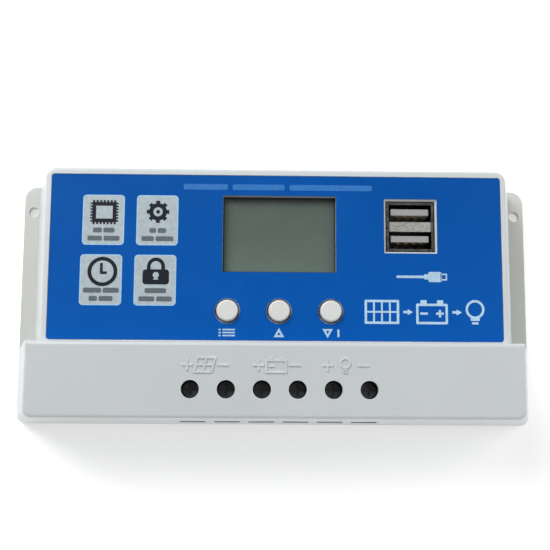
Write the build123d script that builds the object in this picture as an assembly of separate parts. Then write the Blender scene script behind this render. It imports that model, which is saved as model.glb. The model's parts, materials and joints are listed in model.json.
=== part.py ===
from build123d import *
import math
import os

# A wall-mounted solar charge controller, lying on its back: a shallow plastic case in two halves, with a
# display, three push buttons and a double USB outlet on its face, and six rising-cage screw terminals
# behind the raised lip at the lower edge. Millimetres. The origin is the centre of the back face:
# +X is to the right, +Y towards the upper edge when it hangs on a wall, +Z out of the face.

# ---------------------------------------------------------------- case
case_width = 158.0          # across the two mounting ears
case_height = 74.0          # lower edge to upper edge
case_depth = 35.0           # back face to the ridge of the lip
wall = 2.2
base_thickness = 3.0
ear_width = 4.6             # from the foot of the upper block's side wall to the ear's edge
ear_corner_radius = 4.0
block_corner_radius = 3.0
block_side_lean = 7.2       # the upper block's side walls lean in by this much
block_upper_lean = 0.25
block_edge_radius = 1.0
lip_height = 22.6           # along Y
lip_step = 4.0              # ridge of the lip above the upper block's face
lip_fall = 2.0              # ridge to the lower edge of the lip's face
lip_side_lean = 8.3
lip_lower_lean = 1.1
lip_corner_radius = 2.6
lip_edge_radius = 1.1
ceiling = 2.4
boss_overlap = 0.6          # bosses run this far into the ceiling
wire_door_depth = 1.2       # wire openings past the lower wall
spigot_height = 3.0
spigot_thickness = 1.5
spigot_clearance = 0.25
rib_boss_gap = 0.5          # the locating rib stops short of the case bosses
ear_hole_diameter = 3.2
ear_hole_from_edge = 2.9
ear_hole_from_top = 8.0

# ---------------------------------------------------------------- face film
rim = 1.6                   # plastic left bare beside the film
rim_top = 2.1
rim_bottom = 0.7
film_thickness = 0.25
film_recess = 0.35
film_corner_radius = 0.8
film_clearance = 0.15

# ---------------------------------------------------------------- display
window_width = 33.0
window_height = 22.6
window_offset_x = 0.8
glass_width = 36.4
glass_height = 26.0
glass_thickness = 1.1
glass_ledge = 2.4           # contact ledge of the rear glass
window_share = 0.32         # of the film left over by window and buttons, this much is above the window
gasket_thickness = 0.6
gasket_margin = 0.45        # how far the gasket shows inside the window
gasket_border = 1.4
backlight_thickness = 2.6
display_pin_count = 14
display_pin_size = 0.4
display_pin_proud = 0.8     # below the display board
display_pin_inset = 2.0     # first pin from the glass's side edge
pin_hole_gap = 0.1

# ---------------------------------------------------------------- buttons
button_diameter = 6.2
button_pitch = 14.9
button_share = 0.263        # and this much is below the buttons
button_proud = 1.6          # cap above the film
button_crown_radius = 0.6
button_gap = 0.5            # radial gap in the case
button_film_gap = 0.1       # and this much more in the film
button_flange_diameter = 8.6
button_flange_thickness = 0.8
button_travel = 0.4
switch_size = 6.0
switch_height = 3.5
plunger_diameter = 3.4
plunger_length = 2.2
plunger_proud = 0.7
plunger_clearance = 0.1

# ---------------------------------------------------------------- double USB-A outlet
usb_offset_x = 39.1
usb_from_film_top = 14.6
port_width = 12.5
port_height = 5.12
port_pitch = 8.0
shell_sheet = 0.32
shell_leg_width = 1.6
shell_leg_inset = 2.5       # from the shell's end to the middle of a leg
shell_leg_proud = 1.0       # legs below the main board
shell_flange = 0.38
shell_gap = 0.3             # flange to the case's cut-out
shell_below_film = 1.1
cutout_chamfer = 0.5
tongue_width = 11.1
tongue_thickness = 1.84
tongue_offset = 0.54        # centre of the tongue above the centre of its port
tongue_recess = 1.0
insulator_base = 5.0
insulator_gap = 0.05
contact_width = 1.0
contact_thickness = 0.25
contact_gap = 0.02
contact_proud = 1.2         # contacts below the main board
contact_from_tip = 1.2
lead_hole_gap = 0.15        # round the leads, legs and pins in the main board
contact_pitch = 2.25
contact_count = 4

# ---------------------------------------------------------------- boards
board_thickness = 1.6
board_gap_below = 6.8       # base floor to the main board
board_side_margin = 17.4    # foot of the upper block's side wall to the main board
board_end_clearance = 0.9
display_board_left = 36.0
display_board_right = 30.0
display_board_end_gap = 1.0
board_boss_diameter = 6.0
board_boss_inset = 5.0
board_boss_end_inset = 4.0
board_boss_above_step = 2.4
display_boss_diameter = 5.0
display_boss_inset = 3.4

# ---------------------------------------------------------------- screws
case_screw_diameter = 2.9
case_screw_head = 5.4
case_screw_head_height = 1.5
case_screw_length = 12.0
display_screw_room = 0.3    # hole past the end of a display board screw
board_screw_room = 0.5      # hole past the end of a main board screw
screw_end_gap = 0.2         # seat of a case screw above its head's height, and clear of a blind hole's end
case_boss_diameter = 6.4
case_boss_side_inset = 12.4
case_boss_end_inset = 7.5
case_boss_lower_inset = 9.0
board_screw_diameter = 2.6
board_screw_head = 5.0
board_screw_head_height = 1.8
board_screw_length = 6.0
display_screw_diameter = 2.2
display_screw_head = 4.0
display_screw_head_height = 1.4
display_screw_length = 4.6
thread_clearance = 0.05     # a tapped or moulded hole, on the radius
hole_clearance = 0.2        # a plain hole, on the radius
drive_depth = 0.8
drive_width = 0.7

# ---------------------------------------------------------------- terminals
pole_count = 6
pole_pitch = 10.16
terminal_offset_x = 1.1
terminal_axis_from_edge = 9.2   # lower edge of the case to the screws' axes
access_diameter = 5.2
housing_wall_gap = 0.3      # housing to the inside of the case
housing_end_wall = 0.8
housing_depth = 14.0
housing_floor = 1.0
housing_rear_wall = 2.6
housing_top_gap = 0.8
pocket_width = 7.7
head_ledge = 1.2
clamp_screw_diameter = 4.0
clamp_screw_pitch = 0.7
clamp_screw_turns = 6.2
clamp_head_diameter = 5.2
clamp_head_height = 1.6
clamp_head_gap = 0.3        # radial gap to the housing
clamp_screw_gap = 0.2       # radial gap to the housing's ledge
clamp_slot_width = 0.8
clamp_slot_depth = 0.9
clamp_cross_share = 0.6     # of the head's diameter, the short bar of its cross
clamp_crown_radius = 0.35
cage_width = 7.2
cage_length = 6.4
cage_sheet = 0.9
cage_edge_radius = 0.5
cage_top = 1.8
cage_above_tip = 0.5        # screw's tip to the underside of the cage's top
cage_head_room = 0.3        # cage fully risen to the housing's ledge
cage_floor_gap = 0.2
wire_space = 4.8            # cage open, below the current bar
bar_width = 5.0
bar_thickness = 1.0
bar_clearance = 0.1
bar_front = 4.6             # ahead of the screw's axis
pin_width = 1.4
pin_below_board = 1.4
running_clearance = 0.05
end_play = 0.1

# ---------------------------------------------------------------- heat path
sink_width = 84.0
sink_height = 32.0
sink_rib_gap = 0.05         # flange to the locating rib
sink_fit = 0.2
sink_flange = 5.0
sink_flange_thickness = 1.5
sink_screw_diameter = 2.2
sink_screw_head = 4.2
sink_screw_head_height = 1.4
sink_screw_skin = 0.8
pad_thickness = 0.3
pad_margin = 0.5            # pad beyond the transistor's tab
transistor_count = 4
transistor_pitch = 21.0
transistor_width = 10.0
transistor_body = 9.0
transistor_height = 4.4
transistor_from_sink_edge = 9.0
tab_thickness = 1.3
tab_length = 15.4
tab_hole_from_end = 2.8
tab_hole_diameter = 3.6
tab_screw_diameter = 2.9
tab_screw_head = 5.4
tab_screw_head_height = 1.8
tab_screw_skin = 1.0
lead_pitch = 2.54
lead_size = 0.7
lead_reach = 2.8
lead_above_board = 1.2

# ---------------------------------------------------------------- small components
link_count = 8
link_pitch = 2.54
link_width = 2.5
link_header_height = 1.8
link_pin = 0.64
link_socket_gap = 0.05
link_header_gap = 0.02
link_offset_x = -22.0
link_below_window = 4.0     # middle of the strip below the middle of the window
link_pin_proud = 0.8        # pins through either board
capacitor_x = -47.0
capacitor_sizes = [(10.0, 14.0, 16.0), (8.0, 12.0, 3.0)]    # diameter, height, Y
capacitor_edge_radius = 0.5
capacitor_groove_up = 1.6
capacitor_groove_width = 0.8
capacitor_groove_depth = 0.4
coil_x = 48.0
coil_y = -3.0
coil_diameter = 10.0
coil_height = 8.0
coil_flange = 1.0
coil_gap = 0.05
coil_core_diameter = 5.0
coil_winding_diameter = 8.6
chip_size = (12.8, 7.5, 2.2)
chip_standoff = 0.1
chip_bevel = 0.3
chip_place = (-38.0, -10.0)
chip_lead_count = 10
chip_lead_pitch = 1.27
chip_lead = (0.4, 1.4, 0.25)
regulator_size = (6.5, 6.1, 2.2)
regulator_place = (36.0, -9.0)
shunt_diameter = 1.5
shunt_bend_radius = 1.4
shunt_span = 15.0
shunt_rise = 3.0
shunt_place = (-14.0, -15.5)

# ---------------------------------------------------------------- raised marks on the lip
mark_height = 0.35
mark_line = 0.5
mark_above_holes = 6.8
mark_shifts = [-1.0, -1.1, -1.9]    # each mark from the middle of its two poles
mark_plus_x = -5.0
mark_minus_x = 5.2
mark_bar = 2.7

# ---------------------------------------------------------------- derived places
half_width = case_width / 2
top_y = case_height / 2
bottom_y = -case_height / 2
face_z = case_depth - lip_step
ceiling_z = face_z - ceiling
block_half = half_width - ear_width
step_y = bottom_y + lip_height
film_z = face_z - film_recess + film_thickness
film_half = block_half - block_side_lean - rim
film_top = top_y - block_upper_lean - rim_top
film_bottom = step_y + rim_bottom
film_height = film_top - film_bottom

button_hole = button_diameter + 2 * button_gap
face_slack = film_height - window_height - button_hole
window_y = film_top - window_share * face_slack - window_height / 2
button_y = film_bottom + button_share * face_slack + button_hole / 2
button_xs = [window_offset_x + (i - 1) * button_pitch for i in range(3)]
usb_y = film_top - usb_from_film_top

main_board_z = base_thickness + board_gap_below
main_board_top = main_board_z + board_thickness
main_board_half = block_half - board_side_margin
main_board_y = (bottom_y + lip_lower_lean + wall + board_end_clearance,
                top_y - wall - spigot_clearance - spigot_thickness - board_end_clearance)
glass_front_z = ceiling_z - gasket_thickness
backlight_z = glass_front_z - 2 * glass_thickness - backlight_thickness
display_board_top = backlight_z
display_board_z = display_board_top - board_thickness
display_board_y = (button_y - switch_size / 2 - display_boss_inset,
                   top_y - wall - block_upper_lean - display_board_end_gap)

terminal_y = bottom_y + terminal_axis_from_edge
pole_xs = [terminal_offset_x + (i - (pole_count - 1) / 2) * pole_pitch for i in range(pole_count)]
lip_slope = math.atan2(lip_fall, lip_height - lip_lower_lean)
cage_travel = clamp_screw_turns * clamp_screw_pitch
pocket_z = main_board_top + housing_floor
cage_z = pocket_z + cage_floor_gap
bar_z = cage_z + cage_sheet + wire_space
screw_tip_z = bar_z + bar_thickness + end_play
cage_top_z = screw_tip_z + cage_above_tip
pocket_top_z = cage_top_z + cage_top + cage_travel + cage_head_room
head_z = pocket_top_z + head_ledge + end_play


def lip_face_z(y):
    """Height of the lip's sloping face at y."""
    return case_depth - (step_y - y) * math.tan(lip_slope)


def block_side(z):
    """Half-width of the upper block's outer walls at z."""
    return block_half - (z - base_thickness) / (face_z - base_thickness) * block_side_lean


def block_upper(z):
    """Y of the upper block's upper wall at z."""
    return top_y - (z - base_thickness) / (face_z - base_thickness) * block_upper_lean


def lip_side(z):
    """Half-width of the lip's outer walls at z."""
    return half_width - (z - base_thickness) / (case_depth - base_thickness) * lip_side_lean


def lip_lower(z):
    """Y of the lip's lower wall at z."""
    return bottom_y + (z - base_thickness) / (case_depth - base_thickness) * lip_lower_lean


housing_top_z = lip_face_z(bottom_y + wall) - ceiling - housing_top_gap
housing_front_y = lip_lower(housing_top_z) + wall + housing_wall_gap
housing_rear_y = housing_front_y + housing_depth
housing_half = pole_count * pole_pitch / 2 + housing_end_wall

case_bosses = [(side * (block_half - case_boss_side_inset), y)
               for side in (-1, 1)
               for y in (top_y - case_boss_end_inset, bottom_y + case_boss_lower_inset)]
board_bosses = [(side * (main_board_half - board_boss_inset), y)
                for side in (-1, 1)
                for y in (main_board_y[1] - board_boss_end_inset, step_y + board_boss_above_step)]
display_bosses = [(x, y)
                  for x in (window_offset_x - display_board_left + display_boss_inset,
                            window_offset_x + display_board_right - display_boss_inset)
                  for y in (display_board_y[0] + display_boss_inset,
                            display_board_y[1] - display_boss_inset)]
sink_rib_y = top_y - wall - spigot_clearance - spigot_thickness
sink_centre_y = sink_rib_y - sink_rib_gap - sink_flange - sink_height / 2
sink_half = sink_width / 2
sink_y = (sink_centre_y - sink_height / 2, sink_centre_y + sink_height / 2)
sink_top = base_thickness + sink_flange_thickness
sink_screws = [(side * (sink_half + sink_flange / 2), y)
               for side in (-1, 1)
               for y in (sink_y[0] - sink_flange / 2, sink_y[1] + sink_flange / 2)]
transistor_xs = [(i - (transistor_count - 1) / 2) * transistor_pitch for i in range(transistor_count)]
transistor_y = sink_y[0] + transistor_from_sink_edge
tab_hole_y = transistor_y + tab_length - tab_hole_from_end
tab_z = sink_top + pad_thickness

port_ys = [usb_y + port_pitch / 2, usb_y - port_pitch / 2]
shell_half_x = port_width / 2 + shell_sheet
shell_half_y = port_pitch / 2 + port_height / 2 + shell_sheet
shell_top = film_z - shell_below_film
cutout_half_x = shell_half_x + shell_flange + shell_gap
cutout_half_y = shell_half_y + shell_flange + shell_gap

plunger_top = display_board_top + switch_height + plunger_proud
link_y = window_y - link_below_window
link_ys = [link_y + (i - (link_count - 1) / 2) * link_pitch for i in range(link_count)]


# ---------------------------------------------------------------- helpers
def block(x0, x1, y0, y1, z0, z1):
    """A box between two corners."""
    return Pos((x0 + x1) / 2, (y0 + y1) / 2, (z0 + z1) / 2) * Box(x1 - x0, y1 - y0, z1 - z0)


def centred(x, y, width, height, z0, z1):
    """A box about (x, y), from z0 to z1."""
    return block(x - width / 2, x + width / 2, y - height / 2, y + height / 2, z0, z1)


def post(x, y, diameter, z0, z1):
    """A round post or hole along Z."""
    return Pos(x, y, (z0 + z1) / 2) * Cylinder(diameter / 2, z1 - z0)


def total(shapes):
    """The union of several shapes."""
    shapes = list(shapes)
    result = shapes[0]
    for shape in shapes[1:]:
        result = result + shape
    return result


def upright_edges(shape):
    """Edges that run mostly along Z."""
    return shape.edges().filter_by(lambda e: abs((e @ 1 - e @ 0).Z) > 0.9 * e.length)


def rounded_plate(x0, x1, y0, y1, z0, z1, radius):
    """A box with rounded upright corners."""
    plate = block(x0, x1, y0, y1, z0, z1)
    return fillet(upright_edges(plate), radius)


def prism_along_y(points, y0, y1):
    """A prism with an outline of (x, z) points."""
    outline = Polyline(*[(x, y0, z) for x, z in points], close=True)
    return extrude(make_face(outline), amount=y1 - y0, dir=(0, 1, 0))


def prism_along_x(points, x0, x1):
    """A prism with an outline of (y, z) points."""
    outline = Polyline(*[(x0, y, z) for y, z in points], close=True)
    return extrude(make_face(outline), amount=x1 - x0, dir=(1, 0, 0))


def pan_screw(x, y, seat_z, up, diameter, head, head_height, length):
    """A pan-head screw whose head sits on seat_z; up is 1 where the head is above the seat."""
    head_zs = sorted((seat_z, seat_z + up * head_height))
    shank_zs = sorted((seat_z, seat_z - up * length))
    slot_zs = sorted((seat_z + up * head_height, seat_z + up * (head_height - drive_depth)))
    shape = post(x, y, head, *head_zs)
    outer = seat_z + up * head_height
    rim_edges = shape.edges().filter_by(GeomType.CIRCLE).filter_by(lambda e: abs(e.center().Z - outer) < 0.01)
    shape = fillet(rim_edges, head_height * 0.35) + post(x, y, diameter, *shank_zs)
    arm = head * 0.62
    return shape - centred(x, y, arm, drive_width, *slot_zs) - centred(x, y, drive_width, arm, *slot_zs)


def screw_set(places, *sizes):
    """Identical screws as one group of separate solids."""
    return Compound(children=[pan_screw(x, y, *sizes) for x, y in places])


# ---------------------------------------------------------------- case halves
def upper_block(inset, z0, z1):
    """The leaning block behind the face, its walls moved in by inset."""
    lower = step_y - wall - 2.0
    across = prism_along_y([(inset - block_side(z0), z0), (block_side(z0) - inset, z0),
                            (block_side(z1) - inset, z1), (inset - block_side(z1), z1)], lower, top_y + 1)
    along = prism_along_x([(lower, z0), (block_upper(z0) - inset, z0), (block_upper(z1) - inset, z1),
                           (lower, z1)], -half_width, half_width)
    shape = across & along
    corners = upright_edges(shape).filter_by(lambda e: e.center().Y > 0)
    return fillet(corners, max(block_corner_radius - inset, 0.8))


def lip_block(inset, top_inset):
    """The raised lip over the terminals, its walls moved in by inset and its face by top_inset."""
    z0, z1 = base_thickness, case_depth
    low, high = bottom_y - 1, step_y - inset
    across = prism_along_y([(inset - lip_side(z0), z0), (lip_side(z0) - inset, z0),
                            (lip_side(z1) - inset, z1), (inset - lip_side(z1), z1)], low, high)
    along = prism_along_x([(lip_lower(z0) + inset, z0), (high, z0), (high, z1), (lip_lower(z1) + inset, z1)],
                          -half_width, half_width)
    under = prism_along_x([(low, z0), (high, z0), (high, lip_face_z(high) - top_inset),
                           (low, lip_face_z(low) - top_inset)], -half_width, half_width)
    return across & along & under


def lip_shell():
    """The lip's outer form with its corners and its front edges rounded."""
    shape = lip_block(0.0, 0.0)
    shape = fillet(upright_edges(shape).filter_by(lambda e: e.center().Y < step_y - 2), lip_corner_radius)
    face = shape.faces().sort_by(Axis.Z)[-1]
    return fillet(face.edges(), lip_edge_radius)


def block_shell():
    """The upper block's outer form with its front edge rounded."""
    shape = upper_block(0.0, base_thickness, face_z)
    face = shape.faces().sort_by(Axis.Z)[-1]
    edges = face.edges().filter_by(lambda e: e.center().Y > step_y)
    return fillet(edges, block_edge_radius)


def line(x0, y0, x1, y1):
    """A raised stroke between two points of a mark."""
    length = math.hypot(x1 - x0, y1 - y0) + mark_line
    angle = math.degrees(math.atan2(y1 - y0, x1 - x0))
    return Pos((x0 + x1) / 2, (y0 + y1) / 2) * Rot(0, 0, angle) * Rectangle(length, mark_line)


def outline_of(points):
    """A closed outline of strokes."""
    return total(line(*points[i], *points[(i + 1) % len(points)]) for i in range(len(points)))


def panel_mark():
    """A tilted panel of four cells."""
    corners = [(-3.0, -2.0), (2.0, -2.0), (3.0, 2.0), (-2.0, 2.0)]
    return outline_of(corners) + line(-2.5, 0, 2.5, 0) + line(-0.5, -2.0, 0.5, 2.0)


def battery_mark():
    """A battery with two posts."""
    corners = [(-2.8, -2.0), (2.8, -2.0), (2.8, 1.3), (-2.8, 1.3)]
    posts = [Pos(x, 1.8) * Rectangle(1.0, 0.8) for x in (-1.6, 1.6)]
    return total([outline_of(corners), *posts, line(-1.9, -0.3, -0.9, -0.3)])


def lamp_mark():
    """A lamp with its cap."""
    bulb = Pos(0, 0.7) * (Circle(1.6) - Circle(1.6 - mark_line))
    return total([bulb, Pos(0, -1.2) * Rectangle(1.3, 0.5), Pos(0, -1.95) * Rectangle(1.3, 0.4)])


def lip_marks():
    """The three raised marks and their signs, on the lip's sloping face."""
    signs = [line(mark_plus_x - mark_bar / 2, 0, mark_plus_x + mark_bar / 2, 0),
             line(mark_plus_x, -mark_bar / 2, mark_plus_x, mark_bar / 2),
             line(mark_minus_x - mark_bar / 2, 0, mark_minus_x + mark_bar / 2, 0)]
    y = terminal_y + mark_above_holes
    solids = []
    for i, mark in enumerate([panel_mark(), battery_mark(), lamp_mark()]):
        x = (pole_xs[2 * i] + pole_xs[2 * i + 1]) / 2 + mark_shifts[i]
        plane = Plane(origin=(x, y, lip_face_z(y)), x_dir=(1, 0, 0),
                      z_dir=(0, -math.sin(lip_slope), math.cos(lip_slope)))
        for sketch in [mark, *signs]:
            solids.append(extrude(plane * sketch, amount=mark_height, both=True))
    return total(solids)


def front_cover():
    """The upper half of the case, with all its openings, bosses and raised marks."""
    shape = block_shell() + lip_shell()
    shape = shape + lip_marks()
    shape = shape - upper_block(wall, base_thickness, ceiling_z) - lip_block(wall, ceiling)
    for x, y in case_bosses:
        roof = ceiling_z if y > step_y else lip_face_z(y - case_boss_diameter / 2) - ceiling
        shape = shape + post(x, y, case_boss_diameter, base_thickness, roof + boss_overlap)
    for x, y in display_bosses:
        shape = shape + post(x, y, display_boss_diameter, display_board_top, ceiling_z + boss_overlap)
    for x, y in case_bosses:
        shape = shape - post(x, y, case_screw_diameter + 2 * thread_clearance, base_thickness,
                             base_thickness + case_screw_length)
    for x, y in display_bosses:
        shape = shape - post(x, y, display_screw_diameter + 2 * thread_clearance, display_board_top,
                             display_board_z + display_screw_length + display_screw_room)
    recess = film_clearance
    shape = shape - rounded_plate(-film_half - recess, film_half + recess, film_bottom - recess,
                                  film_top + recess, face_z - film_recess, case_depth,
                                  film_corner_radius + recess)
    below = ceiling_z - 1
    floor = face_z - film_recess
    shape = shape - centred(window_offset_x, window_y, window_width, window_height, below, case_depth)
    for x in button_xs:
        shape = shape - post(x, button_y, button_hole, below, case_depth)
    shape = shape - centred(usb_offset_x, usb_y, 2 * cutout_half_x, 2 * cutout_half_y, below, case_depth)
    bevel = Pos(usb_offset_x, usb_y, floor) * Rectangle(2 * (cutout_half_x + cutout_chamfer),
                                                        2 * (cutout_half_y + cutout_chamfer))
    shape = shape - extrude(bevel, amount=-cutout_chamfer, taper=45)
    half = pocket_width / 2
    door_y = bottom_y + wall + wire_door_depth
    for x in pole_xs:
        shape = shape - post(x, terminal_y, access_diameter, housing_top_z, case_depth + 1)
        shape = shape - block(x - half, x + half, bottom_y - 1, door_y, cage_z, bar_z + bar_thickness)
    return shape


def spigot_outline(inset, z0, z1):
    """The stepped outline of the locating rib, moved in by inset."""
    gap = wall + spigot_clearance + inset
    upper = block(gap - block_side(z1), block_side(z1) - gap, step_y - gap - 1, block_upper(z1) - gap, z0, z1)
    lower = block(gap - lip_side(z1), lip_side(z1) - gap, lip_lower(z1) + gap, step_y - gap, z0, z1)
    return upper + lower


def base_plate():
    """The back plate with its ears."""
    plate = block(-half_width, half_width, bottom_y, top_y, 0, base_thickness)
    plate = fillet(upright_edges(plate).filter_by(lambda e: e.center().Y > 0), ear_corner_radius)
    return fillet(upright_edges(plate).filter_by(lambda e: e.center().Y < step_y), lip_corner_radius)


def rear_base():
    """The lower half of the case: floor, ears, locating rib and bosses."""
    shape = base_plate()
    z0, z1 = base_thickness, base_thickness + spigot_height
    rib = spigot_outline(0, z0, z1) - spigot_outline(spigot_thickness, z0, z1)
    for x, y in case_bosses:
        rib = rib - post(x, y, case_boss_diameter + 2 * rib_boss_gap, z0, z1)
    shape = shape + rib
    for x, y in board_bosses:
        shape = shape + post(x, y, board_boss_diameter, base_thickness, main_board_z)
        shape = shape - post(x, y, board_screw_diameter + 2 * thread_clearance,
                             main_board_top - board_screw_length - board_screw_room, main_board_z)
    for x, y in case_bosses:
        shape = shape - post(x, y, case_screw_diameter + 2 * hole_clearance, 0, base_thickness)
        shape = shape - post(x, y, case_screw_head + 2 * hole_clearance, 0,
                             case_screw_head_height + screw_end_gap)
    for side in (-1, 1):
        shape = shape - post(side * (half_width - ear_hole_from_edge), top_y - ear_hole_from_top,
                             ear_hole_diameter, 0, base_thickness)
    shape = shape - centred(0, sink_centre_y, sink_width, sink_height, 0, base_thickness)
    for x, y in sink_screws:
        shape = shape - post(x, y, sink_screw_diameter + 2 * thread_clearance, sink_screw_skin, base_thickness)
    return shape


def face_film():
    """The printed film on the face."""
    z0, z1 = face_z - film_recess, film_z
    shape = rounded_plate(-film_half, film_half, film_bottom, film_top, z0, z1, film_corner_radius)
    shape = shape - centred(window_offset_x, window_y, window_width, window_height, z0, z1)
    shape = shape - centred(usb_offset_x, usb_y, 2 * (cutout_half_x + cutout_chamfer),
                            2 * (cutout_half_y + cutout_chamfer), z0, z1)
    for x in button_xs:
        shape = shape - post(x, button_y, button_hole + 2 * button_film_gap, z0, z1)
    return shape


# ---------------------------------------------------------------- display
def display_gasket():
    """The foam frame between the glass and the case."""
    outer = centred(window_offset_x, window_y, window_width + 2 * gasket_border,
                    window_height + 2 * gasket_border, glass_front_z, ceiling_z)
    inner = centred(window_offset_x, window_y, window_width - 2 * gasket_margin,
                    window_height - 2 * gasket_margin, glass_front_z, ceiling_z)
    return outer - inner


def display_glass(ledge, top):
    """One sheet of the display's glass."""
    return block(window_offset_x - glass_width / 2, window_offset_x + glass_width / 2,
                 window_y - glass_height / 2, window_y + glass_height / 2 + ledge, top - glass_thickness, top)


def display_backlight():
    """The light guide that the glass lies on."""
    return centred(window_offset_x, window_y, glass_width, glass_height, backlight_z,
                   backlight_z + backlight_thickness)


def display_pin_places():
    """Where the display's pins stand, along the ledge of the rear glass."""
    y = window_y + glass_height / 2 + glass_ledge / 2
    pitch = (glass_width - 2 * display_pin_inset) / (display_pin_count - 1)
    middle = (display_pin_count - 1) / 2
    return [(window_offset_x + (i - middle) * pitch, y) for i in range(display_pin_count)]


def display_pins():
    """Pins from the ledge of the rear glass to the display board."""
    size = display_pin_size
    z0 = display_board_z - display_pin_proud
    z1 = glass_front_z - 2 * glass_thickness
    return Compound(children=[centred(x, y, size, size, z0, z1) for x, y in display_pin_places()])


def display_board():
    """The board that carries the display and the switches."""
    shape = block(window_offset_x - display_board_left, window_offset_x + display_board_right,
                  *display_board_y, display_board_z, display_board_top)
    z0, z1 = display_board_z, display_board_top
    for x, y in display_bosses:
        shape = shape - post(x, y, display_screw_diameter + 2 * hole_clearance, z0, z1)
    hole = display_pin_size + 2 * pin_hole_gap
    for x, y in display_pin_places():
        shape = shape - centred(x, y, hole, hole, z0, z1)
    hole = link_pin + 2 * pin_hole_gap
    for y in link_ys:
        shape = shape - centred(link_offset_x, y, hole, hole, z0, z1)
    return shape


# ---------------------------------------------------------------- buttons
def button_cap(x):
    """A round cap with a flange that keeps it in the case."""
    top = film_z + button_proud
    cap = post(x, button_y, button_diameter, plunger_top, top)
    crown = cap.edges().filter_by(GeomType.CIRCLE).sort_by(Axis.Z)[-1]
    cap = fillet(crown, button_crown_radius)
    flange_top = plunger_top + button_flange_thickness
    return cap + post(x, button_y, button_flange_diameter, plunger_top, flange_top)


def switch_plunger(x):
    """The actuator of a tactile switch."""
    return post(x, button_y, plunger_diameter, plunger_top - plunger_length, plunger_top)


def switch_bodies():
    """The three tactile switches."""
    bodies = []
    switch_top = display_board_top + switch_height
    well_floor = plunger_top - plunger_length - button_travel - end_play
    well_diameter = plunger_diameter + 2 * plunger_clearance
    for x in button_xs:
        body = centred(x, button_y, switch_size, switch_size, display_board_top, switch_top)
        bodies.append(body - post(x, button_y, well_diameter, well_floor, plunger_top))
    return Compound(children=bodies)


# ---------------------------------------------------------------- USB outlet
def usb_shell():
    """The folded steel shell around both ports."""
    foot = main_board_top
    shape = centred(usb_offset_x, usb_y, 2 * shell_half_x, 2 * shell_half_y, foot, shell_top)
    shape = shape + centred(usb_offset_x, usb_y, 2 * (shell_half_x + shell_flange),
                            2 * (shell_half_y + shell_flange), shell_top - shell_sheet, shell_top)
    for y in port_ys:
        shape = shape - centred(usb_offset_x, y, port_width, port_height, foot, shell_top)
    web = port_pitch - port_height - 2 * shell_sheet
    shape = shape - centred(usb_offset_x, usb_y, port_width, web, foot, shell_top - shell_sheet)
    for x, y in shell_leg_places():
        shape = shape + centred(x, y, shell_sheet, shell_leg_width, main_board_z - shell_leg_proud, foot)
    return shape


def shell_leg_places():
    """Where the shell's four legs go through the main board."""
    reach_x = shell_half_x - shell_sheet / 2
    reach_y = shell_half_y - shell_leg_inset
    return [(usb_offset_x + i * reach_x, usb_y + j * reach_y) for i in (-1, 1) for j in (-1, 1)]


def contact_xs():
    """The places of a port's contacts across its tongue."""
    return [usb_offset_x + (i - (contact_count - 1) / 2) * contact_pitch for i in range(contact_count)]


def contact_strip(x, y, grow):
    """One contact along the lower face of a tongue, grown by grow all round."""
    face = y + tongue_offset - tongue_thickness / 2
    half = contact_width / 2 + grow
    tip = shell_top - tongue_recess - contact_from_tip
    return block(x - half, x + half, face - contact_thickness - grow, face + grow,
                 main_board_z - contact_proud, tip)


def usb_insulators():
    """The moulded base and tongue in each port."""
    parts = []
    z0, z1 = main_board_top, main_board_top + insulator_base
    for y in port_ys:
        base = centred(usb_offset_x, y, port_width - 2 * insulator_gap, port_height - 2 * insulator_gap, z0, z1)
        tongue = centred(usb_offset_x, y + tongue_offset, tongue_width, tongue_thickness, z0,
                         shell_top - tongue_recess)
        part = base + tongue
        through = centred(usb_offset_x, y, port_width, port_height, z0 - 1, z1)
        for x in contact_xs():
            part = part - (contact_strip(x, y, contact_gap) & through)
        parts.append(part)
    return Compound(children=parts)


def usb_contacts():
    """The spring contacts of both ports."""
    strips = []
    for y in port_ys:
        for x in contact_xs():
            strips.append(Pos(0, -contact_gap, 0) * contact_strip(x, y, 0.0))
    return Compound(children=strips)


# ---------------------------------------------------------------- terminals
def current_bar(x, grow):
    """The tinned bar that a screw presses on, with its pin through the board."""
    rear = housing_rear_y - housing_rear_wall / 2
    front = terminal_y - bar_front
    half = bar_width / 2 + grow
    pin_half = pin_width / 2 + grow
    top = bar_z + bar_thickness + grow
    y0, y1 = rear - bar_thickness - grow, rear + grow
    flat = block(x - half, x + half, front - grow, y1, bar_z - grow, top)
    drop = block(x - half, x + half, y0, y1, main_board_top, bar_z + grow)
    pin = block(x - pin_half, x + pin_half, y0, y1, main_board_z - pin_below_board, main_board_top)
    return flat + drop + pin


def terminal_housing():
    """The moulded block with a pocket for each pole."""
    shape = block(terminal_offset_x - housing_half, terminal_offset_x + housing_half, housing_front_y,
                  housing_rear_y, main_board_top, housing_top_z)
    ledge_z = pocket_top_z + head_ledge
    shank_hole = clamp_screw_diameter + 2 * clamp_screw_gap
    head_well = clamp_head_diameter + 2 * clamp_head_gap
    for x in pole_xs:
        shape = shape - block(x - pocket_width / 2, x + pocket_width / 2, housing_front_y - 1,
                              housing_rear_y - housing_rear_wall, pocket_z, pocket_top_z)
        shape = shape - post(x, terminal_y, shank_hole, pocket_top_z, ledge_z)
        shape = shape - post(x, terminal_y, head_well, ledge_z, housing_top_z)
        shape = shape - current_bar(x, bar_clearance)
    return shape


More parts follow.
